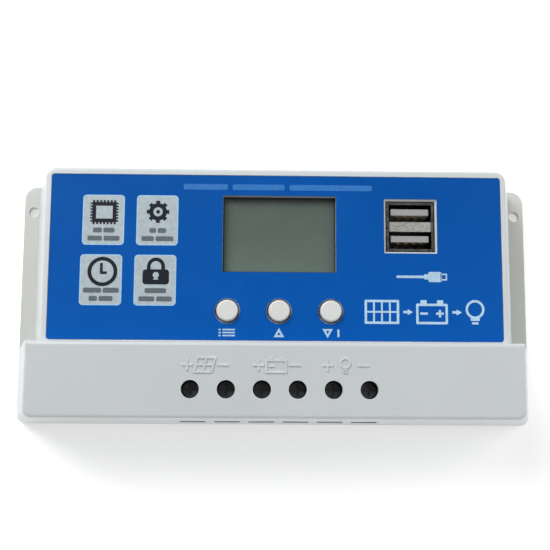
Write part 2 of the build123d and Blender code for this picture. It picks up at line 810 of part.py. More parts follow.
def terminal_cage(x):
    """A rising cage, open towards the wire, threaded in its top."""
    y0, y1 = terminal_y - cage_length / 2, terminal_y + cage_length / 2
    top = cage_top_z + cage_top
    shape = block(x - cage_width / 2, x + cage_width / 2, y0, y1, cage_z, top)
    shape = fillet(shape.edges().filter_by(Axis.Y), cage_edge_radius)
    inner = cage_width / 2 - cage_sheet
    shape = shape - block(x - inner, x + inner, y0 - 1, y1 + 1, cage_z + cage_sheet, cage_top_z)
    return shape - post(x, terminal_y, clamp_screw_diameter + 2 * running_clearance, cage_top_z, top)


def terminal_screw(x):
    """A captive clamp screw with a slotted head."""
    shape = post(x, terminal_y, clamp_head_diameter, head_z, head_z + clamp_head_height)
    crown = shape.edges().filter_by(GeomType.CIRCLE).sort_by(Axis.Z)[-1]
    shape = fillet(crown, clamp_crown_radius)
    shape = shape + post(x, terminal_y, clamp_screw_diameter, screw_tip_z, head_z)
    top = head_z + clamp_head_height
    floor = top - clamp_slot_depth
    slot = centred(x, terminal_y, clamp_head_diameter + 1, clamp_slot_width, floor, top)
    cross = centred(x, terminal_y, clamp_slot_width, clamp_head_diameter * clamp_cross_share, floor, top)
    return shape - slot - cross


# ---------------------------------------------------------------- heat path
def heat_sink():
    """The aluminium plate in the back, with a flange inside the case."""
    shape = centred(0, sink_centre_y, sink_width - 2 * sink_fit, sink_height - 2 * sink_fit, 0, base_thickness)
    shape = shape + centred(0, sink_centre_y, sink_width + 2 * sink_flange, sink_height + 2 * sink_flange,
                            base_thickness, sink_top)
    for x, y in sink_screws:
        shape = shape - post(x, y, sink_screw_diameter + 2 * hole_clearance, base_thickness, sink_top)
    for x in transistor_xs:
        shape = shape - post(x, tab_hole_y, tab_screw_diameter + 2 * thread_clearance, tab_screw_skin, sink_top)
    return shape


def thermal_pads():
    """Insulating pads under the transistors' tabs."""
    pads = []
    half = transistor_width / 2 + pad_margin
    for x in transistor_xs:
        pad = block(x - half, x + half, transistor_y - pad_margin, transistor_y + tab_length + pad_margin,
                    sink_top, tab_z)
        pads.append(pad - post(x, tab_hole_y, tab_hole_diameter, sink_top, tab_z))
    return Compound(children=pads)


def transistor_tabs():
    """The transistors' metal tabs."""
    tabs = []
    half = transistor_width / 2
    for x in transistor_xs:
        tab = block(x - half, x + half, transistor_y, transistor_y + tab_length, tab_z, tab_z + tab_thickness)
        tabs.append(tab - post(x, tab_hole_y, tab_hole_diameter, tab_z, tab_z + tab_thickness))
    return Compound(children=tabs)


def transistor_bodies():
    """The moulded bodies on the tabs."""
    return Compound(children=[block(x - transistor_width / 2, x + transistor_width / 2, transistor_y,
                                    transistor_y + transistor_body, tab_z + tab_thickness,
                                    tab_z + transistor_height) for x in transistor_xs])


def transistor_lead(x, grow):
    """A bent lead from a body up through the main board, grown by grow all round."""
    half = lead_size / 2 + grow
    z = tab_z + transistor_height / 2
    flat = block(x - half, x + half, transistor_y - lead_reach - half, transistor_y, z - half, z + half)
    rise = block(x - half, x + half, transistor_y - lead_reach - half, transistor_y - lead_reach + half,
                 z - half, main_board_top + lead_above_board)
    return flat + rise


def lead_xs():
    """The places of all the transistors' leads."""
    return [x + offset * lead_pitch for x in transistor_xs for offset in (-1, 0, 1)]


def transistor_leads():
    """All the transistors' leads."""
    return Compound(children=[transistor_lead(x, 0.0) for x in lead_xs()])


# ---------------------------------------------------------------- main board and its components
def main_board():
    """The power board on the base's bosses."""
    shape = block(-main_board_half, main_board_half, *main_board_y, main_board_z, main_board_top)
    z0, z1 = main_board_z, main_board_top
    through = block(-half_width, half_width, bottom_y, top_y, z0, z1)
    for x, y in board_bosses:
        shape = shape - post(x, y, board_screw_diameter + 2 * hole_clearance, z0, z1)
    for x in pole_xs:
        shape = shape - (current_bar(x, lead_hole_gap) & through)
    for x in lead_xs():
        shape = shape - transistor_lead(x, lead_hole_gap)
    for y in port_ys:
        for x in contact_xs():
            shape = shape - contact_strip(x, y, lead_hole_gap)
    thick, wide = shell_sheet + 2 * lead_hole_gap, shell_leg_width + 2 * lead_hole_gap
    for x, y in shell_leg_places():
        shape = shape - centred(x, y, thick, wide, z0, z1)
    hole = link_pin + 2 * pin_hole_gap
    for y in link_ys:
        shape = shape - centred(link_offset_x, y, hole, hole, z0, z1)
    return shape


def link_socket():
    """The socket strip on the main board."""
    top = display_board_z - link_header_height
    length = link_count * link_pitch
    shape = centred(link_offset_x, link_y, link_width, length, main_board_top, top)
    hole = link_pin + 2 * link_socket_gap
    for y in link_ys:
        shape = shape - centred(link_offset_x, y, hole, hole, main_board_top, top)
    return shape


def link_header():
    """The header strip under the display board."""
    z0 = display_board_z - link_header_height
    length = link_count * link_pitch
    shape = centred(link_offset_x, link_y, link_width, length, z0, display_board_z)
    hole = link_pin + 2 * link_header_gap
    for y in link_ys:
        shape = shape - centred(link_offset_x, y, hole, hole, z0, display_board_z)
    return shape


def link_pins():
    """The pins that join the two boards."""
    z0, z1 = main_board_z - link_pin_proud, display_board_top + link_pin_proud
    return Compound(children=[centred(link_offset_x, y, link_pin, link_pin, z0, z1) for y in link_ys])


def capacitors():
    """The electrolytic capacitors, each with a rolled groove."""
    cans = []
    for diameter, height, y in capacitor_sizes:
        can = post(capacitor_x, y, diameter, main_board_top, main_board_top + height)
        ends = can.edges().filter_by(GeomType.CIRCLE)
        z0 = main_board_top + capacitor_groove_up
        z1 = z0 + capacitor_groove_width
        ring = post(capacitor_x, y, diameter + 1, z0, z1)
        ring = ring - post(capacitor_x, y, diameter - 2 * capacitor_groove_depth, z0, z1)
        cans.append(fillet(ends, capacitor_edge_radius) - ring)
    return Compound(children=cans)


def coil_core():
    """The ferrite drum of the converter's coil."""
    z0 = main_board_top
    parts = [post(coil_x, coil_y, coil_diameter, z0, z0 + coil_flange),
             post(coil_x, coil_y, coil_core_diameter, z0, z0 + coil_height),
             post(coil_x, coil_y, coil_diameter, z0 + coil_height - coil_flange, z0 + coil_height)]
    return total(parts)


def coil_winding():
    """The coil's copper winding."""
    z0 = main_board_top + coil_flange + coil_gap
    z1 = main_board_top + coil_height - coil_flange - coil_gap
    shape = post(coil_x, coil_y, coil_winding_diameter, z0, z1)
    return shape - post(coil_x, coil_y, coil_core_diameter + 2 * coil_gap, z0, z1)


def microcontroller():
    """The microcontroller's body."""
    width, height, thick = chip_size
    z0 = main_board_top + chip_standoff
    body = centred(*chip_place, width, height, z0, z0 + thick)
    return chamfer(body.faces().sort_by(Axis.Z)[-1].edges(), chip_bevel)


def microcontroller_leads():
    """The microcontroller's two rows of leads."""
    wide, reach, thick = chip_lead
    x0, y0 = chip_place
    leads = []
    for side in (-1, 1):
        edge = y0 + side * chip_size[1] / 2
        for i in range(chip_lead_count):
            x = x0 + (i - (chip_lead_count - 1) / 2) * chip_lead_pitch
            ys = sorted((edge, edge + side * reach))
            leads.append(block(x - wide / 2, x + wide / 2, *ys, main_board_top, main_board_top + thick))
    return Compound(children=leads)


def regulator():
    """The converter's regulator."""
    width, height, thick = regulator_size
    body = centred(*regulator_place, width, height, main_board_top, main_board_top + thick)
    return chamfer(body.faces().sort_by(Axis.Z)[-1].edges(), chip_bevel)


def current_shunt():
    """The bent resistance wire that measures the current."""
    x0, y = shunt_place
    z0, z1 = main_board_top, main_board_top + shunt_rise
    x1 = x0 + shunt_span
    path = FilletPolyline((x0, y, z0), (x0, y, z1), (x1, y, z1), (x1, y, z0), radius=shunt_bend_radius)
    profile = Plane(origin=path @ 0, z_dir=path % 0) * Circle(shunt_diameter / 2)
    return sweep(profile, path=path)


# ---------------------------------------------------------------- all the pieces
def pieces():
    """Every node of the controller by name."""
    made = {
        "front_cover": front_cover(),
        "rear_base": rear_base(),
        "face_film": face_film(),
        "display_gasket": display_gasket(),
        "display_front_glass": display_glass(0.0, glass_front_z),
        "display_rear_glass": display_glass(glass_ledge, glass_front_z - glass_thickness),
        "display_backlight": display_backlight(),
        "display_pins": display_pins(),
        "display_board": display_board(),
        "switch_bodies": switch_bodies(),
        "usb_shell": usb_shell(),
        "usb_insulators": usb_insulators(),
        "usb_contacts": usb_contacts(),
        "terminal_housing": terminal_housing(),
        "terminal_bars": Compound(children=[current_bar(x, 0.0) for x in pole_xs]),
        "heat_sink": heat_sink(),
        "thermal_pads": thermal_pads(),
        "transistor_tabs": transistor_tabs(),
        "transistor_bodies": transistor_bodies(),
        "transistor_leads": transistor_leads(),
        "main_board": main_board(),
        "link_socket": link_socket(),
        "link_header": link_header(),
        "link_pins": link_pins(),
        "capacitors": capacitors(),
        "coil_core": coil_core(),
        "coil_winding": coil_winding(),
        "microcontroller": microcontroller(),
        "microcontroller_leads": microcontroller_leads(),
        "regulator": regulator(),
        "current_shunt": current_shunt(),
        "case_screws": screw_set(case_bosses, case_screw_head_height + screw_end_gap, -1, case_screw_diameter,
                                 case_screw_head, case_screw_head_height, case_screw_length),
        "main_board_screws": screw_set(board_bosses, main_board_top, 1, board_screw_diameter, board_screw_head,
                                       board_screw_head_height, board_screw_length),
        "display_board_screws": screw_set(display_bosses, display_board_z, -1, display_screw_diameter,
                                          display_screw_head, display_screw_head_height, display_screw_length),
        "heat_sink_screws": screw_set(sink_screws, sink_top, 1, sink_screw_diameter, sink_screw_head,
                                      sink_screw_head_height, sink_top - sink_screw_skin - screw_end_gap),
        "transistor_screws": screw_set([(x, tab_hole_y) for x in transistor_xs], tab_z + tab_thickness, 1,
                                       tab_screw_diameter, tab_screw_head, tab_screw_head_height,
                                       tab_z + tab_thickness - tab_screw_skin - screw_end_gap),
    }
    for name, x in zip(("menu", "up", "down"), button_xs):
        made[name + "_button"] = button_cap(x)
        made[name + "_plunger"] = switch_plunger(x)
    for i, x in enumerate(pole_xs, 1):
        made[f"terminal_cage_{i}"] = terminal_cage(x)
        made[f"terminal_screw_{i}"] = terminal_screw(x)
    return made


os.makedirs("parts", exist_ok=True)
for node, shape in pieces().items():
    export_step(shape, f"parts/{node}.step")
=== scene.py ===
"""The looks of a wall-mounted solar charge controller: its finishes, its printed face and its stage."""
import json
import math

import bmesh
import bpy
from mathutils import Euler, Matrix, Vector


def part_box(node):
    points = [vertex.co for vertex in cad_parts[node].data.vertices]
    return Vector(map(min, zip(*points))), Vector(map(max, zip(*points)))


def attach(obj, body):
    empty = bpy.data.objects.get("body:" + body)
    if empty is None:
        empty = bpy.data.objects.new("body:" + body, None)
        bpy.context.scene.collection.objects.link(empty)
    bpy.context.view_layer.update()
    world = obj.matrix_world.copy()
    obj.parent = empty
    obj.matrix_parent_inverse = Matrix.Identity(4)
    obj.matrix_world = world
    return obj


bl_info = {
    "name": "Charge Controller Looks",
    "version": (1, 0, 0),
    "blender": (4, 5, 0),
    "location": "3D View > Sidebar > Charge Controller",
    "description": "Finishes the packed parts of a solar charge controller and prints its face",
    "category": "Object",
}

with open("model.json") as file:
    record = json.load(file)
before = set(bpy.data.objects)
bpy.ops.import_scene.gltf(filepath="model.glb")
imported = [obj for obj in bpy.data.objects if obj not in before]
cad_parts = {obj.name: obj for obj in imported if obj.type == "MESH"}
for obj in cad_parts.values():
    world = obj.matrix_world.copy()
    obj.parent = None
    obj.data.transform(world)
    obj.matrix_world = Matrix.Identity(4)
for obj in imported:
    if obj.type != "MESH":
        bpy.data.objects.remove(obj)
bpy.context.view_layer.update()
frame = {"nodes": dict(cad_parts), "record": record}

MM = 0.001
FILM_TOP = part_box("face_film")[1].z
INK_SINK = 0.02 * MM            # an ink starts this far inside what it is printed on
WELD = 0.001 * MM               # points of a print nearer than this are merged
TRIANGLE = 3                    # sides of a dot that is drawn as a triangle
CUT_PAST = 0.01 * MM            # a cutter reaches this far past a print, above and below
NOISE_LOW, NOISE_HIGH = 0.3, 0.7    # nearly all of a noise lies between these
RANGE_SOCKETS = ("From Min", "From Max", "To Min", "To Max")


# ---------------------------------------------------------------- what a user may change
def colour(name, description, default):
    """A colour setting."""
    return bpy.props.FloatVectorProperty(name=name, description=description, subtype="COLOR",
                                         size=3, min=0.0, max=1.0, default=default)


def length(name, description, default, low=-0.2, high=0.2):
    """A length setting, in metres."""
    return bpy.props.FloatProperty(name=name, description=description, unit="LENGTH",
                                   min=low, max=high, precision=5, default=default)


class ControllerColours(bpy.types.PropertyGroup):
    """Colours of the case, the inks on its face and the display."""
    case_grey: colour("Case", "Moulded plastic of both case halves", (0.595, 0.628, 0.638))
    print_blue: colour("Face print", "Ground colour of the printed film", (0.0, 0.085, 0.385))
    tile_white: colour("Tile", "Ground of the four function tiles", (0.42, 0.49, 0.525))
    tile_edge: colour("Tile edge", "Pale line round each tile", (0.36, 0.60, 0.80))
    pictogram_ink: colour("Pictogram", "Dark ink of the tiles' pictograms", (0.006, 0.010, 0.018))
    caption_ink: colour("Caption", "Thinner ink of the bars under the pictograms", (0.115, 0.14, 0.155))
    title_blue: colour("Title bars", "Light blue ink above the display", (0.03, 0.17, 0.50))
    pale_ink: colour("Pale marks", "Ink of the marks at the buttons and the outlet", (0.42, 0.60, 0.76))
    display_green: colour("Display", "Grey-green of the display at rest", (0.105, 0.145, 0.122))
    button_white: colour("Buttons", "Moulded plastic of the caps", (0.70, 0.71, 0.69))


class PrintSizes(bpy.types.PropertyGroup):
    """Sizes and places of the prints, from the middle of the case."""
    ink: length("Ink height", "How far an ink stands proud", 0.00004, 0.00001, 0.0002)
    tile_width: length("Tile width", "Across one tile", 0.0121, 0.004, 0.03)
    tile_height: length("Tile height", "Up one tile", 0.0148, 0.004, 0.03)
    tile_corner: length("Tile corner", "Corner radius of a tile", 0.0011, 0.0002, 0.003)
    tile_rim: length("Tile edge", "Width of the pale line round a tile", 0.0003, 0.0001, 0.001)
    tile_x: length("Tiles across", "Middle of the left column of tiles", -0.0503)
    tile_y: length("Tiles up", "Middle of the upper row of tiles", 0.0211)
    tile_step_x: length("Step across", "From one column of tiles to the next", 0.0156)
    tile_step_y: length("Step down", "From the upper row of tiles to the lower", 0.0176)
    title_y: length("Title bars", "Height of the bars above the display", 0.0312)
    outlet_mark_x: length("Outlet mark across", "Place of the plug under the outlet", 0.042)
    outlet_mark_y: length("Outlet mark", "Height of the plug under the outlet", 0.0051)
    legend_y: length("Button marks", "Height of the marks under the buttons", -0.0115)
    power_row_y: length("Power row", "Height of the panel, battery and lamp", -0.0052)
    panel_x: length("Panel across", "Middle of the panel", 0.0305)
    battery_x: length("Battery across", "Middle of the battery", 0.0450)
    lamp_x: length("Lamp across", "Middle of the lamp", 0.0575)
    power_arrow_x: length("Arrow across", "Middle of the arrow from panel to battery", 0.0378)
    power_arrow_step: length("Arrow step", "From the first arrow to the second", 0.0142)


class StageSettings(bpy.types.PropertyGroup):
    """The floor, the lights and the camera."""
    floor_size: length("Floor", "Width of the floor", 6.0, 1.0, 20.0)
    key_power: bpy.props.FloatProperty(name="Key light", description="Power of the brighter light",
                                       unit="POWER", min=0.0, max=200.0, default=5.4)
    fill_power: bpy.props.FloatProperty(name="Fill light", description="Power of the second light",
                                        unit="POWER", min=0.0, max=200.0, default=2.0)
    sky: bpy.props.FloatProperty(name="Surroundings", description="Brightness of the surroundings overhead",
                                 min=0.0, max=3.0, default=0.22)
    lens: bpy.props.FloatProperty(name="Lens", description="Focal length in millimetres", unit="CAMERA",
                                  min=20.0, max=200.0, default=72.82)


# ---------------------------------------------------------------- inks, modelled on the film
def select_only(*pieces):
    """Selects these pieces alone, with the first one active."""
    for piece in bpy.context.selected_objects:
        piece.select_set(False)
    for piece in pieces:
        piece.select_set(True)
    if pieces:
        bpy.context.view_layer.objects.active = pieces[0]


def raise_ink(height):
    """Thickens the flat outline being edited, upwards by height, and leaves edit mode."""
    bpy.ops.mesh.select_all(action="SELECT")
    bpy.ops.mesh.extrude_region_move(TRANSFORM_OT_translate={"value": (0, 0, height)})
    bpy.ops.mesh.select_all(action="SELECT")
    bpy.ops.mesh.normals_make_consistent(inside=False)
    bpy.ops.object.mode_set(mode="OBJECT")
    bpy.ops.object.transform_apply(location=True, rotation=True, scale=True)
    return bpy.context.object


class Ink:
    """A pen for one layer of print: where it starts, how thick it is, and where its middle lies."""

    def __init__(self, x, y, start, height):
        self.x, self.y, self.start, self.height = x, y, start, height

    def place(self, x, y):
        """A point of the print, given in millimetres from the pen's middle."""
        return (self.x + x * MM, self.y + y * MM, self.start)

    def bar(self, x, y, width, height, corner=0.0, turn=0.0):
        """A bar with rounded corners."""
        select_only()
        bpy.ops.mesh.primitive_plane_add(size=MM, location=self.place(x, y), rotation=(0, 0, turn))
        bpy.context.object.scale = (width, height, 1)
        bpy.ops.object.transform_apply(location=False, rotation=False, scale=True)
        bpy.ops.object.mode_set(mode="EDIT")
        if corner:
            bpy.ops.mesh.select_all(action="SELECT")
            bpy.ops.mesh.bevel(offset=corner * MM, offset_type="OFFSET", segments=6, affect="VERTICES")
        return raise_ink(self.height)

    def frame(self, x, y, width, height, line, corner=0.0):
        """A rectangle drawn as a line."""
        middle = self.cutter().bar(x, y, width - 2 * line, height - 2 * line, max(corner - line, 0.0))
        return cut(self.bar(x, y, width, height, corner), middle)

    def dot(self, x, y, radius, sides=40, turn=0.0):
        """A disc, or with few sides a triangle or other even shape."""
        select_only()
        bpy.ops.mesh.primitive_circle_add(vertices=sides, radius=radius * MM, fill_type="NGON",
                                          location=self.place(x, y), rotation=(0, 0, turn))
        bpy.ops.object.mode_set(mode="EDIT")
        return raise_ink(self.height)

    def ring(self, x, y, radius, line, sides=56):
        """A circle drawn as a line."""
        select_only()
        bpy.ops.mesh.primitive_circle_add(vertices=sides, radius=radius * MM, fill_type="NGON",
                                          location=self.place(x, y))
        bpy.ops.object.mode_set(mode="EDIT")
        bpy.ops.mesh.select_all(action="SELECT")
        bpy.ops.mesh.inset(thickness=line * MM, depth=0)
        bpy.ops.mesh.delete(type="FACE")
        return raise_ink(self.height)

    def cutter(self):
        """The same pen, starting lower and ending higher, for what is cut out of a print."""
        return Ink(self.x, self.y, self.start - CUT_PAST, self.height + 2 * CUT_PAST)


def combine(piece, others, operation):
    """Adds the other shapes to a piece, or cuts them out of it."""
    for other in others:
        select_only(piece)
        bpy.ops.object.modifier_add(type="BOOLEAN")
        step = piece.modifiers[-1]
        step.operation = operation
        step.solver = "EXACT"
        step.object = other
        bpy.ops.object.modifier_apply(modifier=step.name)
        bpy.data.objects.remove(other)
    return piece


def merge(first, *others):
    """One outline from shapes that overlap."""
    return combine(first, others, "UNION")


def cut(piece, *others):
    """The piece without the other shapes."""
    return combine(piece, others, "DIFFERENCE")


def twin(piece, x, y):
    """A copy with a mesh of its own, moved by x and y millimetres."""
    select_only(piece)
    bpy.ops.object.duplicate(linked=False)
    bpy.ops.transform.translate(value=(x * MM, y * MM, 0))
    bpy.ops.object.transform_apply(location=True, rotation=True, scale=True)
    return bpy.context.object


def turned_twin(piece, middle, angle):
    """A copy with a mesh of its own, turned about a point."""
    select_only(piece)
    bpy.ops.object.duplicate(linked=False)
    bpy.ops.transform.rotate(value=angle, orient_axis="Z", center_override=middle)
    bpy.ops.object.transform_apply(location=True, rotation=True, scale=True)
    return bpy.context.object


def finish_print(name, ink, *shapes):
    """Joins separate shapes into one named print on the face film."""
    select_only(*shapes)
    if len(shapes) > 1:
        bpy.ops.object.join()
    bpy.ops.object.mode_set(mode="EDIT")
    bpy.ops.mesh.select_all(action="SELECT")
    bpy.ops.mesh.remove_doubles(threshold=WELD)
    bpy.ops.mesh.dissolve_degenerate(threshold=WELD)
    bpy.ops.mesh.select_all(action="SELECT")
    bpy.ops.mesh.normals_make_consistent(inside=False)
    bpy.ops.object.mode_set(mode="OBJECT")
    piece = bpy.context.object
    piece.name = name
    piece.data.name = name
    piece.data.materials.clear()
    piece.data.materials.append(ink)
    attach(piece, "case")
    return piece


# ---------------------------------------------------------------- finishes
class Finish:
    """A material under construction, with its patterns on the piece's own coordinates."""

    def __init__(self, name, roughness=0.5, metallic=0.0, coat=0.0, coat_roughness=0.1, specular=0.5):
        self.material = bpy.data.materials.new(name)
        self.material.use_nodes = True
        self.tree = self.material.node_tree
        self.shader = self.tree.nodes["Principled BSDF"]
        self.shader.inputs["Roughness"].default_value = roughness
        self.shader.inputs["Metallic"].default_value = metallic
        self.shader.inputs["Specular IOR Level"].default_value = specular
        self.shader.inputs["Coat Weight"].default_value = coat
        self.shader.inputs["Coat Roughness"].default_value = coat_roughness
        self.spot = self.tree.nodes.new("ShaderNodeTexCoord").outputs["Object"]

    def node(self, kind, **settings):
        """A node with these attributes set."""
        node = self.tree.nodes.new(kind)
        for key, value in settings.items():
            setattr(node, key, value)
        return node

    def link(self, source, target):
        """Joins an output socket to an input socket."""
        self.tree.links.new(source, target)

    def grain(self, size, detail=2.0, stretch=(1, 1, 1), roughness=0.5):
        """A noise whose features are about size metres across."""
        mapping = self.node("ShaderNodeMapping")
        mapping.inputs["Scale"].default_value = stretch
        self.link(self.spot, mapping.inputs["Vector"])
        noise = self.node("ShaderNodeTexNoise")
        noise.inputs["Scale"].default_value = 1 / size
        noise.inputs["Detail"].default_value = detail
        noise.inputs["Roughness"].default_value = roughness
        self.link(mapping.outputs["Vector"], noise.inputs["Vector"])
        return noise.outputs["Fac"]

    def wander(self, size, detail, low=0, high=1, **noise):
        """A value that drifts between low and high, over about size metres."""
        return self.remap(self.grain(size, detail, **noise), NOISE_LOW, NOISE_HIGH, low, high)

    def cells(self, size, feature="F1"):
        """A cell pattern whose cells are about size metres across."""
        voronoi = self.node("ShaderNodeTexVoronoi", feature=feature)
        voronoi.inputs["Scale"].default_value = 1 / size
        self.link(self.spot, voronoi.inputs["Vector"])
        return voronoi.outputs["Distance"]

    def along(self, axis):
        """The place along x, y or z, in metres."""
        split = self.node("ShaderNodeSeparateXYZ")
        self.link(self.spot, split.inputs["Vector"])
        return split.outputs[axis.upper()]

    def remap(self, source, low, high, to_low, to_high, smooth=False):
        """A value carried from one range to another, and held at its ends."""
        step = self.node("ShaderNodeMapRange",
                         interpolation_type="SMOOTHSTEP" if smooth else "LINEAR")
        self.link(source, step.inputs["Value"])
        for socket, value in zip(RANGE_SOCKETS, (low, high, to_low, to_high)):
            step.inputs[socket].default_value = value
        return step.outputs["Result"]

    def bands(self, source, period, low, high):
        """A value that rises and falls along source once in each period."""
        scaled = self.maths("MULTIPLY", source, math.tau / period)
        return self.remap(self.maths("SINE", scaled), -1, 1, low, high)

    def maths(self, operation, a, b=0.0):
        """Arithmetic on two values, each a number or a socket."""
        step = self.node("ShaderNodeMath", operation=operation)
        for socket, value in zip(step.inputs, (a, b)):
            if isinstance(value, (int, float)):
                socket.default_value = value
            else:
                self.link(value, socket)
        return step.outputs["Value"]

    def blend(self, share, first, second):
        """Between two colours by share, either of them a colour or a socket."""
        mix = self.node("ShaderNodeMix", data_type="RGBA")
        self.link(share, mix.inputs["Factor"])
        for socket, value in (("A", first), ("B", second)):
            target = next(s for s in mix.inputs if s.name == socket and s.type == "RGBA")
            if isinstance(value, bpy.types.NodeSocket):
                self.link(value, target)
            else:
                target.default_value = (*value, 1.0)
        return next(s for s in mix.outputs if s.type == "RGBA")

    def edges(self, width):
        """How sharply the surface turns within width, from 0 on flats to 1 at edges."""
        rounded = self.node("ShaderNodeBevel", samples=4)
        rounded.inputs["Radius"].default_value = width
        true = self.node("ShaderNodeNewGeometry").outputs["Normal"]
        facing = self.node("ShaderNodeVectorMath", operation="DOT_PRODUCT")
        self.link(rounded.outputs["Normal"], facing.inputs[0])
        self.link(true, facing.inputs[1])
        flat, sharp = 0.985, 0.80
        return self.remap(facing.outputs["Value"], flat, sharp, 0, 1)

    def edge_highlight(self, width, patch):
        """A painted highlight along the edges, broken up by a pattern of patches about patch across."""
        broken = self.remap(self.grain(patch, 4.0), 0.35, 0.60, 0.15, 1)
        return self.maths("MULTIPLY", self.edges(width), broken)

    def paint(self, socket):
        """Sets the colour of the surface."""
        self.link(socket, self.shader.inputs["Base Color"])

    def polish(self, socket):
        """Sets the roughness of the surface."""
        self.link(socket, self.shader.inputs["Roughness"])

    def relief(self, *layers):
        """Bump layers, each a pattern and its depth in metres, one on another."""
        under = None
        for pattern, depth in layers:
            bump = self.node("ShaderNodeBump")
            bump.inputs["Distance"].default_value = depth
            self.link(pattern, bump.inputs["Height"])
            if under is not None:
                self.link(under, bump.inputs["Normal"])
            under = bump.outputs["Normal"]
        self.link(under, self.shader.inputs["Normal"])
        return self.material


def shade(tint, factor):
    """A colour made lighter or darker."""
    return tuple(min(1.0, c * factor) for c in tint)


def moulded_plastic(name, tint, grain=0.00035, depth=0.00002, roughness=(0.42, 0.58), drift=0.05, coat=0.0):
    """Moulded plastic: fine spark texture, slow drift of shade and handling polish."""
    finish = Finish(name, coat=coat)
    slow = finish.wander(0.03, 3.0)
    body = finish.blend(slow, shade(tint, 1 - drift), shade(tint, 1 + drift))
    speck = finish.remap(finish.grain(grain * 2.5, 2.0), 0.62, 0.72, 0, 0.35)
    finish.paint(finish.blend(speck, body, shade(tint, 1 - 2 * drift)))
    finish.polish(finish.wander(0.012, 4.0, *roughness))
    return finish.relief((finish.grain(0.006, 2.0), depth * 2), (finish.cells(grain), depth))


def case_plastic(tint):
    """The case's pale grey plastic, with a fine spark texture, faint handling marks and a painted highlight
    along its edges.
    """
    finish = Finish("case_plastic", coat=0.30, coat_roughness=0.28)
    slow = finish.wander(0.05, 3.0)
    body = finish.blend(slow, shade(tint, 0.97), shade(tint, 1.03))
    plate_top, plate_blend = 0.0030, 0.0033     # the back plate is slightly warmer than the cover
    plate = finish.remap(finish.along("z"), plate_top, plate_blend, 0.8, 0)
    body = finish.blend(plate, body, (tint[0], tint[1] * 0.965, tint[2] * 0.86))
    dust = finish.remap(finish.grain(0.004, 6.0, roughness=0.7), 0.60, 0.78, 0, 0.30)
    body = finish.blend(dust, body, shade(tint, 0.86))
    speck = finish.remap(finish.grain(0.0009, 1.0), 0.70, 0.76, 0, 0.35)
    body = finish.blend(speck, body, shade(tint, 0.80))
    # painted highlight: the edges are painted lighter than the rest of the case
    finish.paint(finish.blend(finish.edge_highlight(0.0005, 0.006), body, shade(tint, 1.30)))
    finish.polish(finish.wander(0.015, 5.0, 0.34, 0.52, roughness=0.6))
    return finish.relief((finish.grain(0.011, 2.0), 0.00012), (finish.cells(0.0004), 0.00002))


def printed_film(tint):
    """The face film: blue ground, deeper towards its upper edge, under a fine velvet texture."""
    finish = Finish("printed_film", specular=0.07)
    bottom, top = -0.014, 0.034
    rise = finish.remap(finish.along("y"), bottom, top, 0, 1, smooth=True)
    ground = finish.blend(rise, shade(tint, 1.08), shade(tint, 0.90))
    cloud = finish.remap(finish.grain(0.02, 4.0), 0.35, 0.65, 0, 0.5)
    ground = finish.blend(cloud, ground, (tint[0] + 0.002, tint[1] * 1.12, tint[2] * 1.06))
    pinhole = finish.remap(finish.grain(0.0006, 1.0), 0.76, 0.80, 0, 0.12)
    finish.paint(finish.blend(pinhole, ground, (0.10, 0.25, 0.60)))
    finish.polish(finish.wander(0.008, 4.0, 0.36, 0.52))
    return finish.relief((finish.grain(0.014, 2.0), 0.00006), (finish.cells(0.00022), 0.000006))


def screen_ink(name, tint):
    """A screen-printed ink, with the slight mottle and pinholes of its mesh."""
    finish = Finish(name, specular=0.2)
    mottle = finish.remap(finish.grain(0.0012, 3.0), 0.35, 0.65, 0, 1)
    body = finish.blend(mottle, shade(tint, 0.92), shade(tint, 1.06))
    pinhole = finish.remap(finish.cells(0.00045), 0.0, 0.16, 0.35, 0)
    finish.paint(finish.blend(pinhole, body, shade(tint, 0.6)))
    finish.polish(finish.wander(0.003, 3.0, 0.38, 0.55))
    return finish.relief((finish.grain(0.0004, 2.0), 0.000008))


def display_glass(name, tint):
    """The display behind its polarising film: grey-green with a faint cell grid, with painted shade
    darkening it towards the top.
    """
    finish = Finish(name, coat=0.25, coat_roughness=0.08)
    bottom, top = 0.006, 0.029
    # painted shade: the glass is painted darker towards its upper edge, where the window's edge shades it
    rise = finish.remap(finish.along("y"), bottom, top, 0, 1)
    ground = finish.blend(rise, shade(tint, 1.12), shade(tint, 0.78))
    shade_from, shade_full = 0.0258, 0.0286     # the window's upper edge shades the glass
    edge = finish.remap(finish.along("y"), shade_from, shade_full, 0, 0.80, smooth=True)
    ground = finish.blend(edge, ground, shade(tint, 0.22))
    cloud = finish.remap(finish.grain(0.018, 3.0), 0.35, 0.65, 0, 0.15)
    ground = finish.blend(cloud, ground, (tint[0] * 1.08, tint[1] * 1.03, tint[2] * 1.02))
    cell, faint = 0.00055, 0.05
    columns = finish.bands(finish.along("x"), cell, 0, faint)
    rows = finish.bands(finish.along("y"), cell, 0, faint)
    finish.paint(finish.blend(finish.maths("ADD", columns, rows), ground, shade(tint, 0.55)))
    finish.polish(finish.wander(0.006, 3.0, 0.18, 0.30))
    return finish.relief((finish.grain(0.0002, 1.0), 0.000002))


def plated_metal(name, tint, roughness=(0.22, 0.42), stretch=(1, 12, 1), grain=0.0012, depth=0.000006):
    """Plated or bare metal, drawn in one direction, with small scratches and dulled patches."""
    finish = Finish(name, metallic=1.0)
    streak = finish.wander(grain, 5.0, stretch=stretch, roughness=0.65)
    body = finish.blend(streak, shade(tint, 0.86), shade(tint, 1.08))
    dull = finish.remap(finish.grain(0.0025, 6.0, stretch), 0.50, 0.80, 0, 0.45)
    finish.paint(finish.blend(dull, body, shade(tint, 0.62)))
    finish.polish(finish.wander(grain * 2, 4.0, *roughness, stretch=stretch))
    return finish.relief((finish.grain(grain, 4.0, stretch), depth))


